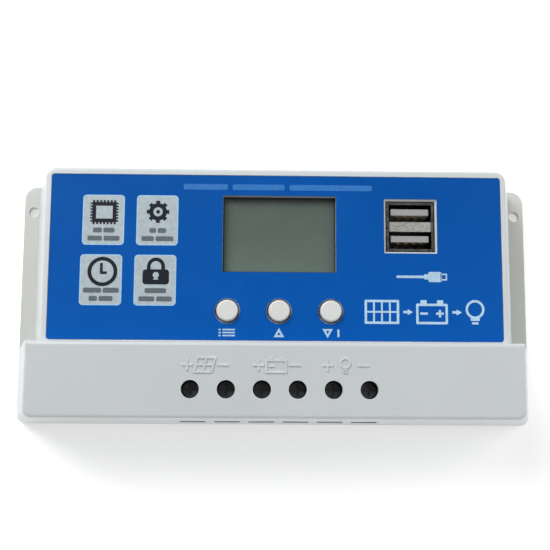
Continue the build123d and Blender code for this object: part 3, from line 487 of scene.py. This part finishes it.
def solder_mask(name, tint):
    """A circuit board: green mask over raised tracks, with tinned spots."""
    finish = Finish(name, coat=0.3, coat_roughness=0.12)
    split = finish.cells(0.0042, "DISTANCE_TO_EDGE")
    track = finish.remap(split, 0.03, 0.06, 0, 1)
    ground = finish.blend(track, shade(tint, 1.9), tint)
    spot = finish.remap(finish.cells(0.0026), 0.13, 0.16, 1, 0)
    finish.paint(finish.blend(spot, ground, (0.55, 0.55, 0.53)))
    finish.polish(finish.wander(0.004, 3.0, 0.25, 0.42))
    return finish.relief((track, 0.00003), (finish.grain(0.0006, 3.0), 0.00001))


def wound_wire(name, tint):
    """Enamelled wire wound in close turns, with painted shade in the grooves between them."""
    finish = Finish(name, metallic=0.85, coat=0.4)
    wire = 0.00055
    turns = finish.bands(finish.along("z"), wire, 0, 1)
    # painted shade: the grooves between the turns are painted darker
    body = finish.blend(turns, shade(tint, 0.35), shade(tint, 1.1))
    patch = finish.remap(finish.grain(0.003, 3.0), 0.4, 0.65, 0, 0.4)
    finish.paint(finish.blend(patch, body, shade(tint, 0.7)))
    finish.polish(finish.wander(0.002, 3.0, 0.22, 0.38))
    return finish.relief((turns, 0.00016))


def soft_foam(name, tint, cell=0.0005, depth=0.00012):
    """Foam or silicone with open pores at its surface, with painted shade in the pores."""
    finish = Finish(name)
    pores = finish.remap(finish.cells(cell), 0.1, 0.5, 0, 1)
    # painted shade: the pores are painted darker than the foam round them
    body = finish.blend(pores, shade(tint, 0.55), shade(tint, 1.15))
    slow = finish.remap(finish.grain(0.006, 3.0), 0.35, 0.65, 0, 0.4)
    finish.paint(finish.blend(slow, body, shade(tint, 0.8)))
    finish.polish(finish.wander(0.003, 3.0, 0.75, 0.92))
    return finish.relief((pores, depth))


def sintered_ferrite(name, tint):
    """Dark sintered ferrite, with sparse glints."""
    finish = Finish(name)
    glint = finish.remap(finish.cells(0.0005), 0.0, 0.12, 1, 0)
    slow = finish.remap(finish.grain(0.003, 4.0), 0.35, 0.65, 0, 1)
    body = finish.blend(slow, shade(tint, 0.8), shade(tint, 1.25))
    finish.paint(finish.blend(glint, body, shade(tint, 3.2)))
    finish.polish(finish.wander(0.001, 3.0, 0.45, 0.7))
    return finish.relief((finish.grain(0.0004, 4.0), 0.00003))


def capacitor_sleeve(name, tint):
    """Shrink sleeve, with a pale stripe down one side of each can."""
    near_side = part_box("capacitors")[0].x
    finish = Finish(name, coat=0.3)
    stripe_to, stripe_gone = near_side + 0.0012, near_side + 0.0014
    stripe = finish.remap(finish.along("x"), stripe_to, stripe_gone, 1, 0)
    slow = finish.remap(finish.grain(0.004, 3.0), 0.35, 0.65, 0, 1)
    body = finish.blend(slow, shade(tint, 0.8), shade(tint, 1.2))
    finish.paint(finish.blend(stripe, body, (0.45, 0.47, 0.50)))
    finish.polish(finish.wander(0.002, 3.0, 0.24, 0.40))
    return finish.relief((finish.grain(0.002, 3.0, (1, 1, 0.2)), 0.00003))


def outlet_steel(name, tint):
    """Plated spring steel: bright between the ports, with a painted shadow darkening the flange round them.
    """
    low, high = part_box("usb_shell")
    middle, half = (low + high) / 2, (high - low) / 2
    shadow_from, shadow_full = 0.0012, 0.0007     # where the painted shadow on the flange starts and where it is full, in from the shell's sides
    finish = Finish(name, metallic=1.0)
    streak = finish.wander(0.0007, 4.0, stretch=(1, 9, 1))
    body = finish.blend(streak, shade(tint, 0.96), shade(tint, 1.03))
    across = finish.maths("ABSOLUTE", finish.maths("SUBTRACT", finish.along("x"), middle.x))
    up = finish.maths("ABSOLUTE", finish.maths("SUBTRACT", finish.along("y"), middle.y))
    sides = finish.remap(across, half.x - shadow_from, half.x - shadow_full, 0, 1)
    ends = finish.remap(up, half.y - shadow_from, half.y - shadow_full, 0, 1)
    rim = finish.maths("MAXIMUM", sides, ends)
    patch = finish.remap(finish.grain(0.0012, 4.0), 0.3, 0.6, 0.75, 0.97)
    # painted shadow: the flange round the ports is painted dark, broken into patches
    finish.paint(finish.blend(finish.maths("MULTIPLY", rim, patch), body, shade(tint, 0.13)))
    finish.polish(finish.wander(0.0015, 4.0, 0.22, 0.38, stretch=(1, 6, 1)))
    return finish.relief((finish.grain(0.0007, 4.0, (1, 9, 1)), 0.0000015))


def dress(slot, material):
    """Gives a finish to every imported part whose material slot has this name."""
    for part in frame["record"]["subparts"]:
        if part["material_slot"] == slot:
            mesh = frame["nodes"][part["node"]].data
            mesh.materials.clear()
            mesh.materials.append(material)


class CONTROLLER_OT_finish_case(bpy.types.Operator):
    """Finish the case halves, the face film and the three buttons"""
    bl_idname = "controller.finish_case"
    bl_label = "Case and buttons"

    def execute(self, context):
        tints = context.scene.controller_colours
        dress("case_plastic", case_plastic(tuple(tints.case_grey)))
        dress("face_print", printed_film(tuple(tints.print_blue)))
        dress("button_white", moulded_plastic("button_white", tuple(tints.button_white), grain=0.0005,
                                              depth=0.000004, roughness=(0.25, 0.38), drift=0.03, coat=0.2))
        dress("switch_plunger", moulded_plastic("switch_plunger", (0.05, 0.05, 0.05)))
        return {"FINISHED"}


class CONTROLLER_OT_finish_display(bpy.types.Operator):
    """Finish the display: its glass, light guide and gasket"""
    bl_idname = "controller.finish_display"
    bl_label = "Display"

    def execute(self, context):
        tints = context.scene.controller_colours
        dress("display_glass", display_glass("display_glass", tuple(tints.display_green)))
        dress("light_guide", moulded_plastic("light_guide", (0.74, 0.77, 0.75), grain=0.0006,
                                             depth=0.000005, roughness=(0.15, 0.28), drift=0.03, coat=0.3))
        dress("gasket_foam", soft_foam("gasket_foam", (0.03, 0.03, 0.035)))
        return {"FINISHED"}


class CONTROLLER_OT_finish_outlet(bpy.types.Operator):
    """Finish the double outlet and the other small plated parts"""
    bl_idname = "controller.finish_outlet"
    bl_label = "Outlet"

    def execute(self, context):
        dress("usb_steel", outlet_steel("usb_steel", (0.56, 0.57, 0.54)))
        dress("usb_plastic", moulded_plastic("usb_plastic", (0.36, 0.36, 0.365), grain=0.0004,
                                             depth=0.00001, roughness=(0.35, 0.5)))
        dress("gold_pins", plated_metal("gold_pins", (0.85, 0.62, 0.28), roughness=(0.18, 0.32),
                                        stretch=(1, 1, 6), grain=0.0008))
        return {"FINISHED"}


class CONTROLLER_OT_finish_terminals(bpy.types.Operator):
    """Finish the terminal block, its cages, its bars and all the screws"""
    bl_idname = "controller.finish_terminals"
    bl_label = "Terminals and screws"

    def execute(self, context):
        dress("housing_plastic", moulded_plastic("housing_plastic", (0.016, 0.016, 0.018), grain=0.0004,
                                                 roughness=(0.45, 0.62), drift=0.12))
        dress("cage_steel", plated_metal("cage_steel", (0.50, 0.50, 0.48), roughness=(0.28, 0.46),
                                         stretch=(1, 1, 5)))
        # painted shade: the screw steel is darkened nearly to black to stand for the shade deep in the
        # terminal holes
        dress("screw_steel", plated_metal("screw_steel", (0.085, 0.085, 0.09), roughness=(0.34, 0.52),
                                          stretch=(6, 6, 1)))
        dress("tinned_copper", plated_metal("tinned_copper", (0.62, 0.61, 0.59), roughness=(0.30, 0.48),
                                            stretch=(1, 6, 1)))
        return {"FINISHED"}


class CONTROLLER_OT_finish_electronics(bpy.types.Operator):
    """Finish the boards and everything on them, and the heat sink"""
    bl_idname = "controller.finish_electronics"
    bl_label = "Boards and heat sink"

    def execute(self, context):
        dress("board_green", solder_mask("board_green", (0.012, 0.11, 0.04)))
        dress("switch_black", moulded_plastic("switch_black", (0.03, 0.03, 0.03), grain=0.0004,
                                              depth=0.00001))
        dress("chip_black", moulded_plastic("chip_black", (0.022, 0.022, 0.024), grain=0.0003, depth=0.00001,
                                            roughness=(0.5, 0.66), drift=0.12))
        dress("sink_aluminium", plated_metal("sink_aluminium", (0.74, 0.75, 0.76), roughness=(0.30, 0.46),
                                             stretch=(1, 24, 1), grain=0.0016, depth=0.00001))
        dress("pad_grey", soft_foam("pad_grey", (0.46, 0.48, 0.52), cell=0.0008, depth=0.00002))
        dress("capacitor_sleeve", capacitor_sleeve("capacitor_sleeve", (0.018, 0.018, 0.045)))
        dress("ferrite", sintered_ferrite("ferrite", (0.055, 0.055, 0.06)))
        dress("copper_wire", wound_wire("copper_wire", (0.72, 0.33, 0.15)))
        dress("shunt_alloy", plated_metal("shunt_alloy", (0.62, 0.45, 0.32), roughness=(0.25, 0.4),
                                          stretch=(8, 1, 8), grain=0.0006))
        return {"FINISHED"}


# ---------------------------------------------------------------- prints on the face
def tile_middles(sizes):
    """The middle of each function tile, in rows from the upper left."""
    row_shift = -0.3 * MM           # the lower row sits a little to the left
    return [(sizes.tile_x + column * sizes.tile_step_x + row * row_shift,
             sizes.tile_y - row * sizes.tile_step_y)
            for row in (0, 1) for column in (0, 1)]


def middle_across(node):
    """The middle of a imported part, from side to side."""
    low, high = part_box(node)
    return (low.x + high.x) / 2


def film_pen(context, x=0.0, y=0.0):
    """A pen for inks that lie on the film itself."""
    return Ink(x, y, FILM_TOP - INK_SINK, context.scene.controller_prints.ink + INK_SINK)


def tile_pen(context, x, y):
    """A pen for inks that lie on a tile."""
    ink = context.scene.controller_prints.ink
    return Ink(x, y, FILM_TOP + ink - INK_SINK / 2, ink / 2 + INK_SINK / 2)


class CONTROLLER_OT_print_tiles(bpy.types.Operator):
    """Print the four function tiles, each with its pale edge"""
    bl_idname = "controller.print_tiles"
    bl_label = "Function tiles"

    def execute(self, context):
        sizes, tints = context.scene.controller_prints, context.scene.controller_colours
        ground = screen_ink("tile_white", tuple(tints.tile_white))
        edge = screen_ink("tile_edge", tuple(tints.tile_edge))
        width, height = sizes.tile_width / MM, sizes.tile_height / MM
        rim, corner = sizes.tile_rim / MM, sizes.tile_corner / MM
        middles = tile_middles(sizes)
        pen = film_pen(context, *middles[0])
        first_edge = pen.frame(0, 0, width, height, rim, corner)
        first = pen.bar(0, 0, width - 2 * rim, height - 2 * rim, corner - rim)
        steps = [((x - middles[0][0]) / MM, (y - middles[0][1]) / MM) for x, y in middles[1:]]
        edges = [first_edge] + [twin(first_edge, *step) for step in steps]
        tiles = [first] + [twin(first, *step) for step in steps]
        for i, (tile, rim_line) in enumerate(zip(tiles, edges), 1):
            finish_print(f"tile_{i}_edge", edge, rim_line)
            finish_print(f"tile_{i}", ground, tile)
        return {"FINISHED"}


class CONTROLLER_OT_print_pictograms(bpy.types.Operator):
    """Print a chip, a gear, a clock and a padlock on the tiles"""
    bl_idname = "controller.print_pictograms"
    bl_label = "Pictograms"

    def execute(self, context):
        ink = screen_ink("pictogram_ink", tuple(context.scene.controller_colours.pictogram_ink))
        drawings = (("chip", self.chip), ("gear", self.gear),
                    ("clock", self.clock), ("padlock", self.padlock))
        for (x, y), (name, draw) in zip(tile_middles(context.scene.controller_prints), drawings):
            finish_print("pictogram_" + name, ink, *draw(tile_pen(context, x, y)))
        return {"FINISHED"}

    @staticmethod
    def chip(pen):
        """A chip seen from above, with seven leads on each side."""
        x, y = 0.2, 2.25
        body = pen.frame(x, y, width=7.0, height=6.0, line=1.1, corner=0.2)
        per_side, pitch_x, pitch_y = 7, 1.02, 0.86
        to_bottom, to_left = -6.3, -7.3
        upright = pen.bar(x - 3 * pitch_x, y - to_bottom / 2, 0.6, 0.8)
        level = pen.bar(x - to_left / 2, y - 3 * pitch_y, 0.8, 0.52)
        leads = [upright, level]
        for i in range(per_side):
            leads += [twin(upright, i * pitch_x, drop) for drop in (0, to_bottom) if i or drop]
            leads += [twin(level, shift, i * pitch_y) for shift in (0, to_left) if i or shift]
        return [merge(body, *leads)]

    @staticmethod
    def gear(pen):
        """A gear whose teeth are drawn out of the edge of a ring, and a hub."""
        x, y, hub = 0.15, 2.5, 0.55
        outer, line, reach = 2.6, 1.25, 1.26
        teeth, per_tooth = 8, 8             # half of the sides for each tooth are drawn out
        sides = teeth * per_tooth
        middle = pen.place(x, y)
        select_only()
        bpy.ops.mesh.primitive_circle_add(vertices=sides, radius=outer * MM, fill_type="NGON",
                                          location=middle)
        bpy.ops.object.mode_set(mode="EDIT")
        bpy.ops.mesh.select_all(action="SELECT")
        bpy.ops.mesh.inset(thickness=line * MM, depth=0)
        bpy.ops.mesh.delete(type="FACE")
        bpy.ops.mesh.select_all(action="DESELECT")
        bpy.ops.mesh.select_mode(type="EDGE")
        mesh = bmesh.from_edit_mesh(bpy.context.object.data)
        for edge in mesh.edges:
            centre = (edge.verts[0].co + edge.verts[1].co) / 2
            side = math.atan2(centre.y, centre.x) / math.tau * sides
            at_rim = min(vert.co.xy.length for vert in edge.verts) > outer * MM - CUT_PAST
            edge.select_set(at_rim and math.floor(side + per_tooth / 4) % per_tooth < per_tooth / 2)
        bmesh.update_edit_mesh(bpy.context.object.data)
        bpy.ops.mesh.extrude_region_move()
        bpy.ops.transform.resize(value=(reach, reach, 1), center_override=middle)
        bpy.ops.mesh.select_mode(type="VERT")
        return [raise_ink(pen.height), pen.dot(x, y, hub, 24)]

    @staticmethod
    def clock(pen):
        """A clock face with two hands."""
        x, y, hand = 0.45, 2.4, 0.8
        hands = merge(pen.bar(x - 0.35, y + 1.05, hand, 2.9, corner=0.1),
                      pen.bar(x + 0.32, y - 0.35, 1.9, hand, corner=0.1))
        return [pen.ring(x, y, radius=4.3, line=1.1, sides=64), hands]

    @staticmethod
    def padlock(pen):
        """A closed padlock with a keyhole."""
        x, line, between = 0.2, 1.05, 4.15
        body = pen.bar(x, 0.95, 7.6, 4.4, corner=0.9)
        post = pen.bar(x - between / 2, 3.4, line, 1.6)
        arch = merge(pen.ring(x, 4.0, radius=2.6, line=line), post, twin(post, between, 0))
        hole = pen.cutter()
        arch = cut(arch, hole.bar(x, 3.1, 3.08, 1.9))
        keyhole = merge(hole.dot(x, 1.5, 0.9, 28), hole.dot(x, 0.6, 0.9, TRIANGLE))
        return [cut(merge(body, arch), keyhole)]


class CONTROLLER_OT_print_bars(bpy.types.Operator):
    """Print plain bars under the pictograms and above the display"""
    bl_idname = "controller.print_bars"
    bl_label = "Caption and title bars"

    # For each tile, the widths of the bars in its two lines, in millimetres
    CAPTIONS = (((2.6, 3.2), (4.2, 4.6)), ((2.0, 2.4), (3.6, 5.2)),
                ((5.2, 4.6), (2.4, 4.0)), ((6.2,), (4.6, 4.5)))
    CAPTION_LINES = (-3.05, -5.45)
    TITLE = (12.9, 15.2, 24.2)

    def execute(self, context):
        sizes, tints = context.scene.controller_prints, context.scene.controller_colours
        caption = screen_ink("caption_ink", tuple(tints.caption_ink))
        for i, (x, y) in enumerate(tile_middles(sizes)):
            pen = tile_pen(context, x, y)
            bars = []
            for line, words in zip(self.CAPTION_LINES, self.CAPTIONS[i]):
                bars += self.row(pen, 0.15, line, words, height=1.45, gap=0.45)
            finish_print(f"caption_{i + 1}", caption, *bars)
        title = screen_ink("title_blue", tuple(tints.title_blue))
        pen = film_pen(context, 0.0, sizes.title_y)
        finish_print("title_bars", title, *self.row(pen, 0.3, 0.0, self.TITLE, height=1.7, gap=1.4))
        return {"FINISHED"}

    @staticmethod
    def row(pen, middle, y, widths, height, gap):
        """A centred row of bars."""
        x = middle - (sum(widths) + gap * (len(widths) - 1)) / 2
        bars = []
        for width in widths:
            bars.append(pen.bar(x + width / 2, y, width, height, corner=height * 0.3))
            x += width + gap
        return bars


class CONTROLLER_OT_print_outlet_mark(bpy.types.Operator):
    """Print a plug on its lead under the outlet"""
    bl_idname = "controller.print_outlet_mark"
    bl_label = "Outlet mark"

    def execute(self, context):
        sizes, tints = context.scene.controller_prints, context.scene.controller_colours
        ink = screen_ink("outlet_ink", tuple(tints.pale_ink))
        pen = film_pen(context, sizes.outlet_mark_x, sizes.outlet_mark_y)
        lead = merge(pen.bar(-3.0, 0, 8.4, 0.75, corner=0.3), pen.bar(1.6, 0, 1.5, 1.5, corner=0.2),
                     pen.bar(4.0, 0, 3.8, 3.0, corner=0.5))
        tip = pen.frame(6.6, 0, 1.9, 2.0, line=0.42, corner=0.1)
        finish_print("outlet_mark", ink, lead, tip)
        return {"FINISHED"}


class CONTROLLER_OT_print_button_marks(bpy.types.Operator):
    """Print a list, an up arrow and a down arrow under the buttons"""
    bl_idname = "controller.print_button_marks"
    bl_label = "Button marks"

    def execute(self, context):
        sizes, tints = context.scene.controller_prints, context.scene.controller_colours
        ink = screen_ink("legend_ink", tuple(tints.pale_ink))
        menu, up, down = [middle_across(key + "_button") for key in ("menu", "up", "down")]
        pen = film_pen(context, menu, sizes.legend_y)
        step, height, corner = 0.85, 0.42, 0.12
        line, point = pen.bar(0.5, step, 3.6, height, corner), pen.bar(-2.1, step, 0.7, height, corner)
        lower = [twin(piece, 0, -rows * step) for piece in (line, point) for rows in (1, 2)]
        finish_print("menu_mark", ink, line, point, *lower)
        pen = film_pen(context, up, sizes.legend_y)
        arrow = self.arrow(pen, 0, -0.35)
        flipped = turned_twin(arrow, pen.place(0, 0), math.pi)
        beside_bar = -0.9
        shifted = twin(flipped, (down - up) / MM + beside_bar, 0)
        bpy.data.objects.remove(flipped)
        finish_print("up_mark", ink, arrow)
        pen = film_pen(context, down, sizes.legend_y)
        finish_print("down_mark", ink, shifted, pen.bar(2.2, 0, 0.6, 2.2, corner=0.15))
        return {"FINISHED"}

    @staticmethod
    def arrow(pen, x, y):
        """A triangle with an open middle, pointing up."""
        outer, inner = 1.75, 0.62
        return cut(pen.dot(x, y, outer, TRIANGLE), pen.cutter().dot(x, y, inner, TRIANGLE))


class CONTROLLER_OT_print_power_row(bpy.types.Operator):
    """Print the way the power goes: panel, battery, lamp"""
    bl_idname = "controller.print_power_row"
    bl_label = "Power row"

    def execute(self, context):
        sizes, tints = context.scene.controller_prints, context.scene.controller_colours
        ink = screen_ink("power_row_ink", shade(tuple(tints.pale_ink), 1.1))
        y = sizes.power_row_y
        finish_print("power_panel", ink, self.panel(film_pen(context, sizes.panel_x, y)))
        finish_print("power_battery", ink, *self.battery(film_pen(context, sizes.battery_x, y)))
        finish_print("power_lamp", ink, *self.lamp(film_pen(context, sizes.lamp_x, y)))
        pen = film_pen(context, sizes.power_arrow_x, y)
        arrow = merge(pen.bar(-0.35, 0, 1.5, 0.7), pen.dot(0.65, 0, 1.0, TRIANGLE, turn=-math.pi / 2))
        second = twin(arrow, sizes.power_arrow_step / MM, 0)
        finish_print("power_arrow_first", ink, arrow)
        finish_print("power_arrow_second", ink, second)
        return {"FINISHED"}

    @staticmethod
    def panel(pen):
        """A solar panel of two by four cells."""
        cell, thin = 2.3, 0.5
        outline = pen.frame(0, 0, 10.0, 7.0, line=0.7, corner=0.3)
        line = pen.bar(-cell, 0, thin, 6.4)
        return merge(outline, pen.bar(0, 0, 9.4, thin), line, twin(line, cell, 0), twin(line, 2 * cell, 0))

    @staticmethod
    def battery(pen):
        """A battery with its two posts and signs."""
        post_x, sign_x, sign_y, sign, stroke = 2.4, 2.3, -0.4, 2.2, 0.65
        post = pen.bar(-post_x, 2.9, 1.8, 1.2)
        case = merge(pen.frame(0, -0.5, 9.2, 6.0, line=0.7, corner=0.4), post, twin(post, 2 * post_x, 0))
        minus = pen.bar(-sign_x, sign_y, sign, stroke)
        plus = merge(twin(minus, 2 * sign_x, 0), pen.bar(sign_x, sign_y, stroke, sign))
        return [case, plus, minus]

    @staticmethod
    def lamp(pen):
        """A lamp bulb with its base."""
        corner = 0.15
        bulb = merge(pen.ring(0, 0.9, radius=2.75, line=0.7, sides=48), pen.bar(0, -2.0, 2.6, 0.9, corner))
        return [bulb, pen.bar(0, -3.15, 1.9, 0.6, corner)]


# ---------------------------------------------------------------- stage
class CONTROLLER_OT_set_stage(bpy.types.Operator):
    """Set a plain floor, soft lights and the camera"""
    bl_idname = "controller.set_stage"
    bl_label = "Stage"

    CAMERA_PLACE = (-0.0057413, -0.0432425, 0.3489864)
    CAMERA_TURN = (0.1560, -0.0255, 0.0086)
    CAMERA_SHIFT = (-0.01818, -0.00909)
    KEY_PLACE, KEY_WIDTH = (-0.38, 0.44, 0.62), 0.50
    FILL_PLACE, FILL_WIDTH = (0.50, 0.12, 0.60), 0.60
    FLOOR_DROP = 0.1 * MM                           # the floor lies this far below the back of the case
    GLOW_NEAR, GLOW_FAR = (0.25, 0.38), (0.80, 0.72)    # distance from the case, and the floor's glow there
    HORIZON, OVERHEAD = 0.05, 0.45                  # heights at which the surroundings start and end to dim

    def execute(self, context):
        settings = context.scene.controller_stage
        self.lay_floor(settings.floor_size)
        self.light_world(context.scene, settings.sky)
        self.hang_light("key_light", self.KEY_PLACE, self.KEY_WIDTH, settings.key_power)
        self.hang_light("fill_light", self.FILL_PLACE, self.FILL_WIDTH, settings.fill_power)
        self.place_camera(context.scene, settings.lens)
        context.scene.view_settings.view_transform = "Standard"
        context.scene.view_settings.look = "None"
        return {"FINISHED"}

    def lay_floor(self, width):
        """A pale floor under the case, which glows more the further it is from the case."""
        select_only()
        bpy.ops.mesh.primitive_plane_add(size=width, location=(0, 0, -self.FLOOR_DROP))
        floor = bpy.context.object
        floor.name = "floor"
        bpy.ops.object.transform_apply(location=True, rotation=True, scale=True)
        finish = Finish("floor_white", roughness=0.9)
        cloud = finish.wander(0.6, 2.0)
        finish.paint(finish.blend(cloud, (0.93, 0.93, 0.93), (0.95, 0.95, 0.95)))
        finish.shader.inputs["Emission Color"].default_value = (1.0, 1.0, 1.0, 1.0)
        reach = finish.node("ShaderNodeVectorMath", operation="LENGTH")
        finish.link(finish.spot, reach.inputs[0])
        (near, dim), (far, bright) = self.GLOW_NEAR, self.GLOW_FAR
        glow = finish.remap(reach.outputs["Value"], near, far, dim, bright, smooth=True)
        finish.link(glow, finish.shader.inputs["Emission Strength"])
        floor.data.materials.append(finish.material)

    def light_world(self, scene, strength):
        """White surroundings, full at the horizon and dimmer overhead."""
        world = bpy.data.worlds.new("soft_surroundings")
        world.use_nodes = True
        nodes, links = world.node_tree.nodes, world.node_tree.links
        direction = nodes.new("ShaderNodeTexCoord").outputs["Generated"]
        split = nodes.new("ShaderNodeSeparateXYZ")
        links.new(direction, split.inputs["Vector"])
        fade = nodes.new("ShaderNodeMapRange")
        fade.interpolation_type = "SMOOTHSTEP"
        links.new(split.outputs["Z"], fade.inputs["Value"])
        for socket, value in zip(RANGE_SOCKETS, (self.HORIZON, self.OVERHEAD, 1.0, strength)):
            fade.inputs[socket].default_value = value
        ground = nodes["Background"]
        ground.inputs["Color"].default_value = (1.0, 1.0, 1.0, 1.0)
        links.new(fade.outputs["Result"], ground.inputs["Strength"])
        scene.world = world

    @staticmethod
    def hang_light(name, place, width, power):
        """A square soft light that faces the case."""
        select_only()
        bpy.ops.object.light_add(type="AREA", location=place)
        lamp = bpy.context.object
        lamp.name = name
        lamp.data.shape = "SQUARE"
        lamp.data.size = width
        lamp.data.energy = power
        lamp.rotation_mode = "QUATERNION"
        lamp.rotation_quaternion = (-lamp.location).to_track_quat("-Z", "Y")

    def place_camera(self, scene, lens):
        """The camera in front of the face, a little below its middle."""
        select_only()
        bpy.ops.object.camera_add(location=self.CAMERA_PLACE)
        camera = bpy.context.object
        camera.name = "camera"
        camera.rotation_mode = "QUATERNION"
        camera.rotation_quaternion = Euler(self.CAMERA_TURN, "ZYX").to_quaternion()
        camera.data.sensor_width = 36.0
        camera.data.lens = lens
        camera.data.shift_x, camera.data.shift_y = self.CAMERA_SHIFT
        camera.data.clip_start = 0.01
        scene.camera = camera


# ---------------------------------------------------------------- panel and registration
STEPS = (
    CONTROLLER_OT_finish_case,
    CONTROLLER_OT_finish_display,
    CONTROLLER_OT_finish_outlet,
    CONTROLLER_OT_finish_terminals,
    CONTROLLER_OT_finish_electronics,
    CONTROLLER_OT_print_tiles,
    CONTROLLER_OT_print_pictograms,
    CONTROLLER_OT_print_bars,
    CONTROLLER_OT_print_outlet_mark,
    CONTROLLER_OT_print_button_marks,
    CONTROLLER_OT_print_power_row,
    CONTROLLER_OT_set_stage,
)


class CONTROLLER_PT_steps(bpy.types.Panel):
    """Lists the steps and their settings"""
    bl_idname = "CONTROLLER_PT_steps"
    bl_label = "Charge Controller"
    bl_space_type = "VIEW_3D"
    bl_region_type = "UI"
    bl_category = "Charge Controller"

    def draw(self, context):
        for step in STEPS:
            self.layout.operator(step.bl_idname)
        for settings in (context.scene.controller_colours, context.scene.controller_prints,
                         context.scene.controller_stage):
            box = self.layout.box()
            for name in settings.__annotations__:
                box.prop(settings, name)


CLASSES = (ControllerColours, PrintSizes, StageSettings, *STEPS, CONTROLLER_PT_steps)


def register():
    """Registers the settings, the steps and the panel."""
    for cls in CLASSES:
        bpy.utils.register_class(cls)
    bpy.types.Scene.controller_colours = bpy.props.PointerProperty(type=ControllerColours)
    bpy.types.Scene.controller_prints = bpy.props.PointerProperty(type=PrintSizes)
    bpy.types.Scene.controller_stage = bpy.props.PointerProperty(type=StageSettings)


def unregister():
    """Takes them out again."""
    for name in ("controller_colours", "controller_prints", "controller_stage"):
        delattr(bpy.types.Scene, name)
    for cls in reversed(CLASSES):
        bpy.utils.unregister_class(cls)


def main():
    """Builds the looks step by step."""
    register()
    for step in STEPS:
        group, action = step.bl_idname.split(".")
        getattr(getattr(bpy.ops, group), action)()


if __name__ == "__main__":
    main()
